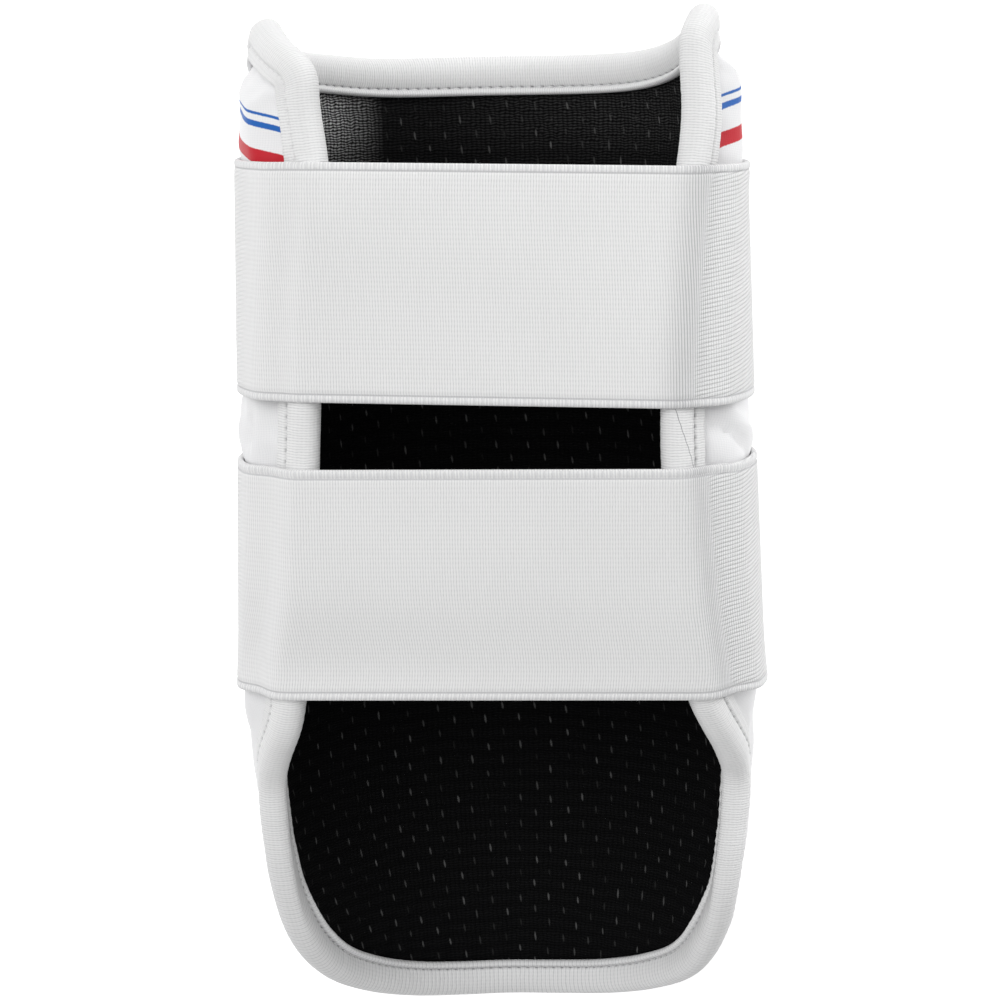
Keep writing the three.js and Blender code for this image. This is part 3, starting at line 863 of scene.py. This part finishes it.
CREASE_FIRST, CREASE_SPAN = 0.12, 0.76
FULL_FROM = (9, 14)
PUCKER_RISE, PUCKER_FALL = (7.5, 9.5), (11, 16)
PUCKER_PITCH, PUCKER_DRIFT, PUCKER_HEIGHT = 6.2, 2.5, 0.22
WRINKLE_SHARE = 0.8


def crease_rise(flat, start, end, half_width, lift):
    """Height of one soft crease or ridge between two flat places."""
    start, end = np.array(start, float), np.array(end, float)
    run = end - start
    share = np.clip((flat - start) @ run / (run @ run), 0, 1)
    apart = np.linalg.norm(flat - start - share[:, None] * run, axis=1)
    return lift * np.exp(-(apart / half_width) ** 2) * np.sin(np.pi * (CREASE_FIRST + CREASE_SPAN * share))


around, along = cover_flat.T
free = 1 - under_straps(cover_flat)
full = smooth_step(cover_depth, *FULL_FROM)
shape = sum(
    lift * np.exp(-((around - middle) / half_around) ** 2 - ((along - station) / half_along) ** 2)
    for middle, station, half_around, half_along, lift in BULGES
)
shape = shape + sum(crease_rise(cover_flat, *row) for row in CREASES)
pucker_band = smooth_step(cover_depth, *PUCKER_RISE) * (1 - smooth_step(cover_depth, *PUCKER_FALL))
pucker_drift = PUCKER_DRIFT * wave_noise(cover_run, 0 * cover_run, 3, 40)
pucker = np.sin(math.tau * cover_run / PUCKER_PITCH + pucker_drift) * pucker_band * PUCKER_HEIGHT
cover_out = cover_rise(cover_depth) + (shape * full + pucker + WRINKLE_SHARE * wrinkles) * free

cover = add_grid("padded_cover", COVER_COLUMNS, COVER_ROWS)
map_flat(cover, cover_flat)
move_points(cover, wall_point(around, along, cover_out))
turn_faces(cover)
give_second_face(cover, wall_point(around, along, np.full(len(around), PAD_INNER)))
smooth_shade(cover)
dress(cover, cover_finish, "cover", "padded_shell")

# %% [markdown]
# ## Mesh lining
#
# The lining is a thin knit on the inner face of the foam. It follows the same outline with its own grid.
# It is not stretched tight: near the seams of the tape it ripples, and further in it sags, so its face
# moves in and out by a fraction of a millimetre.

# %% Piece: mesh lining
LINING, LINING_LIFT = 1.5, 0.1
LINING_COLUMNS, LINING_ROWS = 100, 140
RIPPLE_RISE, RIPPLE_FALL = (8, 10), (13, 26)
RIPPLE_PITCH, RIPPLE_DRIFT, RIPPLE_HEIGHT = 7.5, 2, 0.3
SAG_FROM, SAG_HEIGHT = (9, 20), 0.35

lining_flat = fill_outline(LINING_COLUMNS, LINING_ROWS, WALL_INSET)
lining_depth, lining_run = nearest_edge(lining_flat)
around, along = lining_flat.T
near_seam = smooth_step(lining_depth, *RIPPLE_RISE) * (1 - smooth_step(lining_depth, *RIPPLE_FALL))
ripple_drift = RIPPLE_DRIFT * wave_noise(lining_run, 0 * lining_run, 8, 35)
ripple = np.sin(math.tau * lining_run / RIPPLE_PITCH + ripple_drift) * near_seam * RIPPLE_HEIGHT
sag = wave_noise(around, along, 21, 40) * smooth_step(lining_depth, *SAG_FROM) * SAG_HEIGHT

lining = add_grid("lining_sheet", LINING_COLUMNS, LINING_ROWS)
map_flat(lining, lining_flat)
move_points(lining, wall_point(around, along, ripple + sag - LINING_LIFT))
give_second_face(lining, wall_point(around, along, np.full(len(around), LINING)))
smooth_shade(lining)
dress(lining, lining_finish, "lining", "mesh_lining")

# %% [markdown]
# ## Binding tape
#
# A ribbed tape is folded over the edge and sewn down on both sides. Its section is drawn once, as depth in
# from the edge and height over the lining's face: an inner leg, a full round roll, an outer leg, and the
# thin channel that the wall sits in. A curve with a bevel object could sweep it, but the roll would twist
# at the lobes, so a grid is wrapped round the loop instead, one column for each step along the edge, and
# its open sides are merged. The hem is rounded off at the lobes, the tape is slimmer at the sides of the
# tongue, and small puckers between the stitches make it look sewn.

# %% Section of the tape and stations round the edge
TAPE_STATIONS = 620
TAPE_SECTION = np.array([
    # depth, height, pucker: the outer skin from the inner leg round the roll to the outer leg
    (8.75, -0.8, 0.3), (8.65, -1.7, 0.4), (8.0, -2.2, 0.5), (7.35, -1.75, 0.2), (7.0, -0.8, -0.6),
    (6.6, -1.2, 0.2), (5.9, -1.6, 0.6), (4.4, -1.9, 0.6), (2.6, -1.75, 0.4), (1.0, -0.9, 0.2),
    (0.1, 0.6, 0.1), (0.0, 2.0, 0.1), (0.5, 3.5, 0.2), (1.7, 4.6, 0.4), (3.4, 5.0, 0.6), (4.7, 4.85, 0.6),
    (5.3, 4.2, -0.6), (5.9, 4.7, 0.5), (6.9, 4.75, 0.6), (7.6, 4.95, 0.5), (8.0, 4.75, 0.3),
    (8.15, 4.3, 0.2),
    # the channel that holds the wall
    (7.9, 3.85, 0), (4.5, 3.85, 0), (1.7, 3.8, 0), (0.95, 2.9, 0), (0.9, 1.6, 0), (0.95, 0.1, 0),
    (1.7, -0.42, 0), (5.0, -0.42, 0), (8.5, -0.45, 0),
])
OUTER_FROM = 2
OUTER_LEG = slice(24, 42)
HEM_DEPTH, HEM_ROUNDING, HEM_LOBES = 8.2, 4.5, (84, 94)
GROOVE_HEIGHT, SLIM_INNER, SLIM_OUTER = -0.8, 0.7, 0.4
SLIM_RISE, SLIM_FALL = (-94, -78), (-50, -42)
PRESSED_HEIGHT, FREE_RISE = 4.7, 0.35
GATHER, GATHER_NOISE, GATHER_PRESSED, GATHER_DEEPEST = 0.16, 0.6, 0.35, -0.2
section = smooth_loop(TAPE_SECTION, 2)
section_run = length_gone(section[:, :2])


def edge_stations(count):
    """Flat places, ways in towards the hem and lengths gone, at equal steps round the bound edge."""
    wanted = np.arange(count) / count * EDGE_LENGTH
    into = inward(edge_loop)
    place = line_at(np.vstack([edge_loop, edge_loop[:1]]), edge_gone, wanted)
    heading = unit(line_at(np.vstack([into, into[:1]]), edge_gone, wanted))
    hem = place + HEM_DEPTH * heading
    most = round(3 * HEM_ROUNDING * count / EDGE_LENGTH)
    reach = range(-most, most + 1)
    weights = [math.exp(-0.5 * (step * EDGE_LENGTH / count / HEM_ROUNDING) ** 2) for step in reach]
    rounded = sum(weight * np.roll(hem, step, 0) for weight, step in zip(weights, reach)) / sum(weights)
    at_lobes = smooth_step(place[:, 1:], *HEM_LOBES)
    return place, heading + at_lobes * (rounded - hem) / HEM_DEPTH, wanted


def tape_point(place, into, run, depth, height, pucker):
    """Points of one line round the tape: pressed down under the straps, puckered between the stitches."""
    free = 1 - under_straps(place)
    gather = np.sin(math.tau * run / STITCH_PITCH) + GATHER_NOISE * wave_noise(run, 0 * run, 17, 9)
    gather = GATHER * pucker * gather * (GATHER_PRESSED + (1 - GATHER_PRESSED) * free)
    slim = smooth_step(place[:, 1], *SLIM_RISE) * (1 - smooth_step(place[:, 1], *SLIM_FALL))
    outer = height > OUTER_FROM
    limit = PRESSED_HEIGHT + FREE_RISE * free - SLIM_OUTER * slim if outer else height
    lifted = np.minimum(height, limit) - SLIM_INNER * slim * min(height - GROOVE_HEIGHT, 0)
    lifted = lifted + (1 if outer else -1) * np.maximum(gather, GATHER_DEEPEST)
    return wall_point(*(place + into * depth).T, lifted)


def tape_map_place(along, depth):
    """Place on the tape's flat map: on the right flap at a station, at a depth on its outer leg."""
    flap = (edge_loop[:, 0] > 60) & (np.abs(edge_loop[:, 1]) < 60)
    run = np.interp(along, edge_loop[flap, 1], edge_gone[:-1][flap])
    return run, np.interp(depth, section[OUTER_LEG, 0], section_run[OUTER_LEG])


print("points in the tape's section:", len(section))

# %% [markdown]
# The two ends of the tape meet in the right window, where a thin slanted line is drawn by the material.
# The sewn grooves are marked on the mesh, so that the needle holes follow them. On the outside of the lobes
# the groove is hardly seen, and its mark fades there.

# %% Piece: binding tape
SEAMS = [(7.0, -0.8), (5.3, 4.2)]
SEAM_WIDTH, LOBE_SEAM_FADE, SEAM_LOBES = 0.36, 0.75, (70, 85)
JOIN_ENDS = [
    # along, depth
    (34.0, 0.6), (20.0, 4.5),
]
JOIN_REACH, JOIN_HALF_WIDTH = 8.0, 0.14
MERGE_WITHIN = 0.000002

place, into, run = edge_stations(TAPE_STATIONS)
loop_index = np.arange(TAPE_STATIONS + 1) % TAPE_STATIONS
loop_run = np.arange(TAPE_STATIONS + 1) / TAPE_STATIONS * EDGE_LENGTH
skin = np.concatenate([section, section[:1]])
skin_run = np.append(section_run, section_run[-1])
tape_rows = [tape_point(place, into, run, *line)[loop_index] for line in skin]
tape_map = [np.stack([loop_run, np.full(len(loop_run), gone)], -1) for gone in skin_run]
binding = add_grid("binding_tape", TAPE_STATIONS, len(section))
map_flat(binding, np.concatenate(tape_map))
move_points(binding, np.concatenate(tape_rows))

from_seam = np.linalg.norm(skin[:, None, :2] - np.array(SEAMS)[None], axis=2).min(1)
seam_row = np.exp(-(from_seam / SEAM_WIDTH) ** 2)
seam_at_lobes = smooth_step(place[loop_index, 1], *SEAM_LOBES)
seam_fade = LOBE_SEAM_FADE * (skin[:, 1] > OUTER_FROM)[:, None] * seam_at_lobes[None]
mark_points(binding, "seam", (seam_row[:, None] * (1 - seam_fade)).ravel())

tree = tape_finish.node_tree
(run_a, span_a), (run_b, span_b) = (tape_map_place(*end) for end in JOIN_ENDS)
join_run = add_node(
    tree, "MapRange", {0: tape_span, 1: span_a, 2: span_b, 3: run_a, 4: run_b}, clamp=False).outputs[0]
off_join = maths(tree, "SUBTRACT", tape_run, join_run)
on_join = line_mask(tree, tape_span, (span_a + span_b) / 2, (span_b - span_a) / 2, 0.05)
near_join = line_mask(tree, tape_run, (run_a + run_b) / 2, JOIN_REACH, 0.1)
on_join = maths(tree, "MULTIPLY", on_join, near_join)
on_join = maths(tree, "MULTIPLY", on_join, line_mask(tree, off_join, 0, JOIN_HALF_WIDTH, 0.2))
shade_over(tree, tape_colour, on_join, grey(0.3, 0.01))
print("tape join from", round(run_a, 1), "to", round(run_b, 1), "mm round the edge")

bpy.ops.object.mode_set(mode="EDIT")
bpy.ops.mesh.select_all(action="SELECT")
bpy.ops.mesh.remove_doubles(threshold=MERGE_WITHIN)
bpy.ops.mesh.normals_make_consistent(inside=False)
bpy.ops.object.mode_set(mode="OBJECT")
smooth_shade(binding, 70)
dress(binding, tape_finish, "binding", "edge_binding")

# %% [markdown]
# ## Elastic straps
#
# Each strap starts on the outer face of one flap, folds over that flap's edge, spans the opening and folds
# over the other edge. Past the folds it comes down from the tape onto the cover, the lower strap a little
# later than the upper one. Such webbing is best modelled directly: its middle line is drawn in the
# section, then the grid is laid along it with a front and a back face. The long edges are rounded and have
# a fine groove beside them, where the selvedge is woven tighter. Two marks on the mesh tell the material
# where the strap is slack and where its right fold lies.

# %% Pieces: elastic straps
STRAP = 1.4
STRAP_ON_PAD, STRAP_ON_TAPE, ONTO_PAD = 8.3, 5.15, 6
ROLL, FOLD_CENTRE = 2.6, 2.15
STRAP_COLUMNS = 260
WRAP_STEPS, ARC_STEPS = 40, 11
RIGHT_FOLD = WRAP_STEPS + 2 * ARC_STEPS
SLACK_FROM = {"upper": 0.6, "lower": 4.4}
SLACK_BEFORE, SLACK_AFTER = 0.5, 1.5
LEFT_SLACK, LEFT_SLACK_SHARE = (12, 20), 0.5
FOLD_SHADE_BEFORE, FOLD_SHADE_HALF_WIDTH = 2, 4
SELVEDGE = [0, 0.12, 0.35, 0.7, 1.15, 1.5, 1.75, 2.0, 2.4, 3.2]
INNER_FIRST, INNER_STEP = 4.5, 2.2
STRAP_RIM, STRAP_RIM_LEAST = 0.7, 0.02
GROOVE_PLACE, GROOVE_HALF_WIDTH, GROOVE_DEPTH = 1.75, 0.3, 0.26


def edge_reach(side, along):
    """Reach of the bound edge on the right (1) or left (-1) flap, at stations along the guard."""
    flap = edge_loop[(side * edge_loop[:, 0] > 40) & (np.abs(edge_loop[:, 1]) < 100)]
    order = flap[:, 1].argsort()
    return np.interp(along, flap[order, 1], side * flap[order, 0])


def strap_half(side, along, slack):
    """Middle line of half a strap at one station, from its end on the flap to the top of the fold."""
    fold = float(edge_reach(side, along)) - ROLL
    reach = np.linspace(STRAP_END, fold, WRAP_STEPS)
    onto_pad = smooth_step(fold - reach, slack, slack + ONTO_PAD)
    out = STRAP_ON_TAPE + (STRAP_ON_PAD - STRAP_ON_TAPE) * onto_pad + STRAP / 2
    wrap = wall_point(side * reach, np.full(len(reach), along), out)
    centre = wall_point(np.array(side * fold), np.array(along), np.array(FOLD_CENTRE))
    turn = np.linspace(float(section_at(np.array(fold))[2]), np.pi, ARC_STEPS + 1)[1:]
    radius = (STRAP_ON_TAPE - FOLD_CENTRE + STRAP / 2) * MM
    arc = np.stack([side * np.sin(turn), 0 * turn, -np.cos(turn)], -1) * radius + centre
    return np.vstack([wrap, arc])


def rim_share(from_rim, width, least):
    """Share of the full thickness at a distance from a rounded rim."""
    return np.sqrt(np.maximum(least, 1 - np.maximum(0, 1 - from_rim / width) ** 2))


def make_strap(name, width, left, right, slack):
    """Models one strap, slack from a distance past its folds, and returns it with its length."""
    half_rows = np.concatenate([SELVEDGE, np.arange(INNER_FIRST, width / 2, INNER_STEP)])
    from_edge = np.concatenate([half_rows, [width / 2], width - half_rows[::-1]])
    front, back, flat, wrap, fold = [], [], [], [], []
    for offset in from_edge:
        across = offset - width / 2
        halves = strap_half(-1, left + across, slack), strap_half(1, right + across, slack)
        line = np.vstack([halves[0], halves[1][::-1]])
        old_gone = length_gone(line)
        gone = np.linspace(0, old_gone[-1], STRAP_COLUMNS + 1)
        line = line_at(line, old_gone, gone)
        past_fold = (gone - old_gone[RIGHT_FOLD]) / MM
        past_left = (old_gone[WRAP_STEPS - 1] - gone) / MM
        right_slack = smooth_step(past_fold, slack - SLACK_BEFORE, slack + SLACK_AFTER)
        wrap.append(right_slack + LEFT_SLACK_SHARE * smooth_step(past_left, *LEFT_SLACK))
        # The fold mark says where the material paints shade on the right fold.
        fold.append(np.exp(-((past_fold - slack + FOLD_SHADE_BEFORE) / FOLD_SHADE_HALF_WIDTH) ** 2))
        for _ in range(4):
            line[1:-1] = (line[:-2] + 2 * line[1:-1] + line[2:]) / 4
        heading = np.gradient(line, axis=0)
        normal = unit(np.stack([-heading[:, 2], 0 * heading[:, 0], heading[:, 0]], -1))
        near = min(offset, width - offset)
        half = STRAP / 2 * MM * rim_share(near, STRAP_RIM, STRAP_RIM_LEAST)
        groove = GROOVE_DEPTH * MM * math.exp(-((near - GROOVE_PLACE) / GROOVE_HALF_WIDTH) ** 2)
        front.append(line + normal * (half - groove))
        back.append(line - normal * half)
        flat.append(np.stack([gone * 1000, np.full(len(gone), offset)], -1))
    strap = add_grid(name, STRAP_COLUMNS, len(from_edge) - 1)
    map_flat(strap, np.concatenate(flat))
    move_points(strap, np.concatenate(front))
    give_second_face(strap, np.concatenate(back))
    for title, rows in (("wrap", wrap), ("fold", fold)):
        mark_points(strap, title, np.tile(np.concatenate(rows), 2))
    smooth_shade(strap, 60)
    return strap, gone[-1]


for name, width, left, right in STRAPS:
    strap, length = make_strap(f"elastic_{name}", width, left, right, SLACK_FROM[name])
    dress(strap, elastic_finish, "elastic", f"strap_{name}")
    print("strap length in mm:", round(1000 * length, 1))

# %% [markdown]
# ## Hook tabs
#
# On the right flap each strap carries on in a hook tab with two round corners, which presses onto the
# cover. A grid is narrowed towards its far end along a quarter circle, and its rim is rounded off like the
# edge of a moulded tape.

# %% Pieces: hook tabs
TAB_LENGTH, TAB_MARGIN, TAB_CORNER, TAB_GAP = 19.0, 1.5, 9.0, 0.3
TAB_COLUMNS, TAB_ROWS = 36, 60
TAB_HALF, TAB_RIM, TAB_RIM_LEAST = 0.7, 0.8, 0.03
HEM_GROOVE, HEM_PLACE, HEM_HALF_WIDTH = 0.14, 2.2, 0.5


def make_tab(name, width, middle):
    """Models one hook tab, from the strap's end towards the spine, and returns it with its length."""
    share = np.linspace(0, 1, TAB_COLUMNS + 1)
    gone = TAB_LENGTH * np.sin(np.pi / 2 * (1 - share))
    into_corner = np.maximum(0, gone - (TAB_LENGTH - TAB_CORNER))
    trimmed = TAB_CORNER - np.sqrt(TAB_CORNER**2 - into_corner**2)
    half_width = width / 2 - TAB_MARGIN - trimmed
    sideways = np.sin(np.linspace(-np.pi / 2, np.pi / 2, TAB_ROWS + 1))
    along = middle + sideways[:, None] * half_width[None]
    reach = np.broadcast_to(STRAP_END - TAB_GAP - gone, along.shape)
    from_rim = np.minimum(half_width[None] * (1 - np.abs(sideways[:, None])), TAB_LENGTH - gone[None])
    half = TAB_HALF * rim_share(from_rim, TAB_RIM, TAB_RIM_LEAST)
    hem = HEM_GROOVE * np.exp(-((from_rim - HEM_PLACE) / HEM_HALF_WIDTH) ** 2)
    tab = add_grid(name, TAB_COLUMNS, TAB_ROWS)
    map_flat(tab, np.stack([reach, along], -1).reshape(-1, 2))
    middle_out = STRAP_ON_PAD + STRAP / 2
    move_points(tab, wall_point(reach, along, middle_out + half - hem).reshape(-1, 3))
    turn_faces(tab)
    give_second_face(tab, wall_point(reach, along, middle_out - half).reshape(-1, 3))
    smooth_shade(tab, 60)
    middle_line = wall_point(reach[0], np.full(len(gone), middle), middle_out)
    return tab, float(np.linalg.norm(np.diff(middle_line, axis=0), axis=1).sum())


for name, width, left, right in STRAPS:
    tab, length = make_tab(f"hook_{name}", width, right)
    dress(tab, tab_finish, "tab", f"pull_tab_{name}")

# %% [markdown]
# ## Stitches
#
# Rows of stitches hold the tape on both sides, a boxed cross holds each strap on the left flap, and two
# rows hold it on the right one. One stitch is modelled once, as a small stretched ball with few faces. It
# is then copied along each row by writing all copies into one mesh, turned to the direction of the row and
# to the cloth below it.

# %% Pieces: rows of stitches
EDGE_STITCH, STRAP_STITCH = (1.7, 0.34, 0.3), (2.1, 0.5, 0.4)
EDGE_ROWS = [
    # depth, height
    (5.3, 4.2), (7.05, -0.8),
]
STITCH_LIFT, STITCH_PROBE, STITCH_MAP_STEP = 0.02, 0.5, 3.0
STRAP_STITCH_PITCH, BOX_MARGIN, BOX_NEAR, BOX_FAR, CROSS_LIFT, SECOND_ROW = 2.6, 3, 2, 16, 0.15, 5
bpy.ops.object.select_all(action="DESELECT")
bpy.ops.mesh.primitive_uv_sphere_add(segments=6, ring_count=5, radius=0.5, rotation=(0, math.pi / 2, 0))
bpy.ops.object.transform_apply(location=False, rotation=True, scale=True)
model_stitch = bpy.context.object
stitch_points = np.array([tuple(point.co) for point in model_stitch.data.vertices])
stitch_faces = [tuple(face.vertices) for face in model_stitch.data.polygons]
bpy.data.objects.remove(model_stitch)


def sew(name, rows, slot_name):
    """Joins copies of the stitch. A row has middles, headings, normals and a stitch's sizes in mm."""
    points, faces, flats = [], [], []
    for middles, headings, normals, sizes in rows:
        headings = unit(headings)
        sideways = unit(np.cross(normals, headings))
        upward = np.cross(headings, sideways)
        body = stitch_points * np.array(sizes) * MM
        made = (
            middles[:, None] + body[None, :, :1] * headings[:, None]
            + body[None, :, 1:2] * sideways[:, None] + body[None, :, 2:] * upward[:, None]
        )
        for copy in made:
            first = len(points) * len(stitch_points)
            points.append(copy)
            flats.append(stitch_points[:, :2] * np.array(sizes[:2]) + (STITCH_MAP_STEP * len(points), 0))
            faces.extend(tuple(first + corner for corner in face) for face in stitch_faces)
    mesh = bpy.data.meshes.new(name)
    mesh.from_pydata(np.concatenate(points).tolist(), [], faces)
    mesh.uv_layers.new(name="flat_mm")
    piece = bpy.data.objects.new(name, mesh)
    bpy.context.scene.collection.objects.link(piece)
    map_flat(piece, np.concatenate(flats))
    smooth_shade(piece, 80)
    dress(piece, thread_finish, slot_name)
    print("stitches in", name, len(points))


def edge_row(depth, height):
    """A row of stitches round the bound edge at a depth from it, on the tape's skin at a height."""
    count = int(EDGE_LENGTH / STITCH_PITCH)
    place, into, _ = edge_stations(count)
    around, along = (place + into * depth).T
    middles = wall_point(around, along, np.full(count, height))
    probe = STITCH_PROBE if height > OUTER_FROM else -STITCH_PROBE
    normals = unit(wall_point(around, along, np.full(count, height + probe)) - middles)
    headings = np.roll(middles, -1, 0) - np.roll(middles, 1, 0)
    return middles + normals * STITCH_LIFT * MM, headings, normals, EDGE_STITCH


def flap_row(corners_flat, out):
    """Stitches along straight lines between flat corners on the outer face."""
    middles, headings, normals = [], [], []
    for start, end in zip(corners_flat[:-1], corners_flat[1:]):
        start, end = np.array(start, float), np.array(end, float)
        count = max(2, int(np.linalg.norm(end - start) / STRAP_STITCH_PITCH))
        shares = (np.arange(count) + 0.5) / count
        flat = start + (end - start) * shares[:, None]
        ahead = flat + (end - start) * 0.01
        base = wall_point(*flat.T, np.full(count, out))
        middles.append(base)
        headings.append(wall_point(*ahead.T, np.full(count, out)) - base)
        normals.append(unit(wall_point(*flat.T, np.full(count, out + STITCH_PROBE)) - base))
    return np.concatenate(middles), np.concatenate(headings), np.concatenate(normals), STRAP_STITCH


sew("binding_stitches", [edge_row(*row) for row in EDGE_ROWS], "binding")
strap_rows = []
out = STRAP_ON_PAD + STRAP + STITCH_LIFT
for name, width, left, right in STRAPS:
    low, high = left - width / 2 + BOX_MARGIN, left + width / 2 - BOX_MARGIN
    near, far = -(STRAP_END + BOX_NEAR), -(STRAP_END + BOX_FAR)
    box = [(near, low), (near, high), (far, high), (far, low), (near, low), (far, high)]
    strap_rows.append(flap_row(box, out))
    strap_rows.append(flap_row([(near, high), (far, low)], out + CROSS_LIFT))
    low, high = right - width / 2 + BOX_MARGIN, right + width / 2 - BOX_MARGIN
    near, far = STRAP_END + BOX_NEAR, STRAP_END + SECOND_ROW
    strap_rows.append(flap_row([(near, low), (near, high)], out))
    strap_rows.append(flap_row([(far, high), (far, low)], out))
sew("strap_stitches", strap_rows, "elastic")

# %% [markdown]
# ## Floor, light and camera
#
# The guard lies on a plain white surface in a light tent, so it is lit from all sides and casts hardly any
# shadow. The world gives an even light, a large lamp above and a little to the left is the key, a weaker
# one stands low on the right, and the floor glows like a lit table, which brightens the sides. The camera
# sees a little less of that glow than the guard does, so that the ground is white without dazzling. It
# looks down on the open side.

# %% Floor and light
FLOOR_GLOW, FLOOR_SEEN, TENT_LIGHT = 0.6, 0.5, 0.4
FLOOR_SIZE, FLOOR_LEVEL = 6, -0.0004
SPECK_SCALE, SPECK_DETAIL = 30.0, 3.0
WHITE = (1, 1, 1, 1)
LAMP_AIM = Vector((0, 0, 0.03))
LAMPS = [
    # name, place, size, watts
    ("key_lamp", (-0.34, 0.4, 1.1), 0.9, 9.9), ("right_lamp", (0.88, 0.45, 0.12), 0.7, 5.4),
]
bpy.ops.object.select_all(action="DESELECT")
bpy.ops.mesh.primitive_plane_add(size=FLOOR_SIZE, location=(0, 0, FLOOR_LEVEL))
bpy.ops.object.transform_apply(location=True)
floor = bpy.context.object
floor.name = floor.data.name = "floor"
floor_finish = bpy.data.materials.new("floor_white")
floor_finish.use_nodes = True
tree = floor_finish.node_tree
floor_shader = tree.nodes["Principled BSDF"]
speck = add_noise(tree, add_node(tree, "TexCoord").outputs["Object"], SPECK_SCALE, SPECK_DETAIL)
tree.links.new(blend_colours(tree, speck, grey(0.88), grey(0.91)), floor_shader.inputs["Base Color"])
floor_shader.inputs["Roughness"].default_value = 0.9
floor_shader.inputs["Emission Color"].default_value = WHITE
seen = add_node(tree, "LightPath").outputs["Is Camera Ray"]
tree.links.new(ramp(tree, seen, 0, 1, FLOOR_GLOW, FLOOR_SEEN), floor_shader.inputs["Emission Strength"])
floor.data.materials.append(floor_finish)
floor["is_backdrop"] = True

world = bpy.data.worlds.new("light_tent")
bpy.context.scene.world = world
world.use_nodes = True
tent = world.node_tree.nodes["Background"]
tent.inputs[0].default_value = WHITE
tent.inputs[1].default_value = TENT_LIGHT
for name, lamp_place, size, watts in LAMPS:
    bpy.ops.object.light_add(type="AREA", location=lamp_place)
    lamp = bpy.context.object
    lamp.name = lamp.data.name = name
    lamp.data.size = size
    lamp.data.energy = watts
    lamp.rotation_euler = (LAMP_AIM - Vector(lamp_place)).to_track_quat("-Z", "Y").to_euler()
    print("lamp:", name, watts, "W")
bpy.context.scene.view_settings.view_transform = "Standard"

# %% Camera
CAMERA_TILT, CAMERA_ROLL = math.radians(9), math.radians(1.21)
CAMERA_AIM = Vector((CENTRE_ACROSS, 15 + CENTRE_ALONG, 77))
CAMERA_DISTANCE, CAMERA_SHIFT = 624, 0.52
CAMERA_LENS, SENSOR_WIDTH = 107.9, 36
back = Vector((0, math.sin(CAMERA_TILT), math.cos(CAMERA_TILT)))
flat_up = Vector((0, math.cos(CAMERA_TILT), -math.sin(CAMERA_TILT)))
flat_right = Vector((1, 0, 0))
right_axis = math.cos(CAMERA_ROLL) * flat_right - math.sin(CAMERA_ROLL) * flat_up
up_axis = math.sin(CAMERA_ROLL) * flat_right + math.cos(CAMERA_ROLL) * flat_up
camera_place = (CAMERA_AIM + CAMERA_DISTANCE * back + CAMERA_SHIFT * right_axis) * MM
camera_data = bpy.data.cameras.new("camera")
camera_data.sensor_width = SENSOR_WIDTH
camera_data.lens = CAMERA_LENS
camera_data.clip_start = 0.01
camera = bpy.data.objects.new("camera", camera_data)
bpy.context.scene.collection.objects.link(camera)
turn = Matrix((right_axis, up_axis, back)).transposed().to_4x4()
camera.matrix_world = Matrix.Translation(camera_place) @ turn
bpy.context.scene.camera = camera
print("camera at mm:", [round(1000 * part) for part in camera_place])

# %% [markdown]
# ## Measure
#
# The last cell prints the size of the dressed guard in millimetres.

# %% Measure
low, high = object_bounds()
print("dressed guard in mm:", [round(1000 * side, 1) for side in high - low])
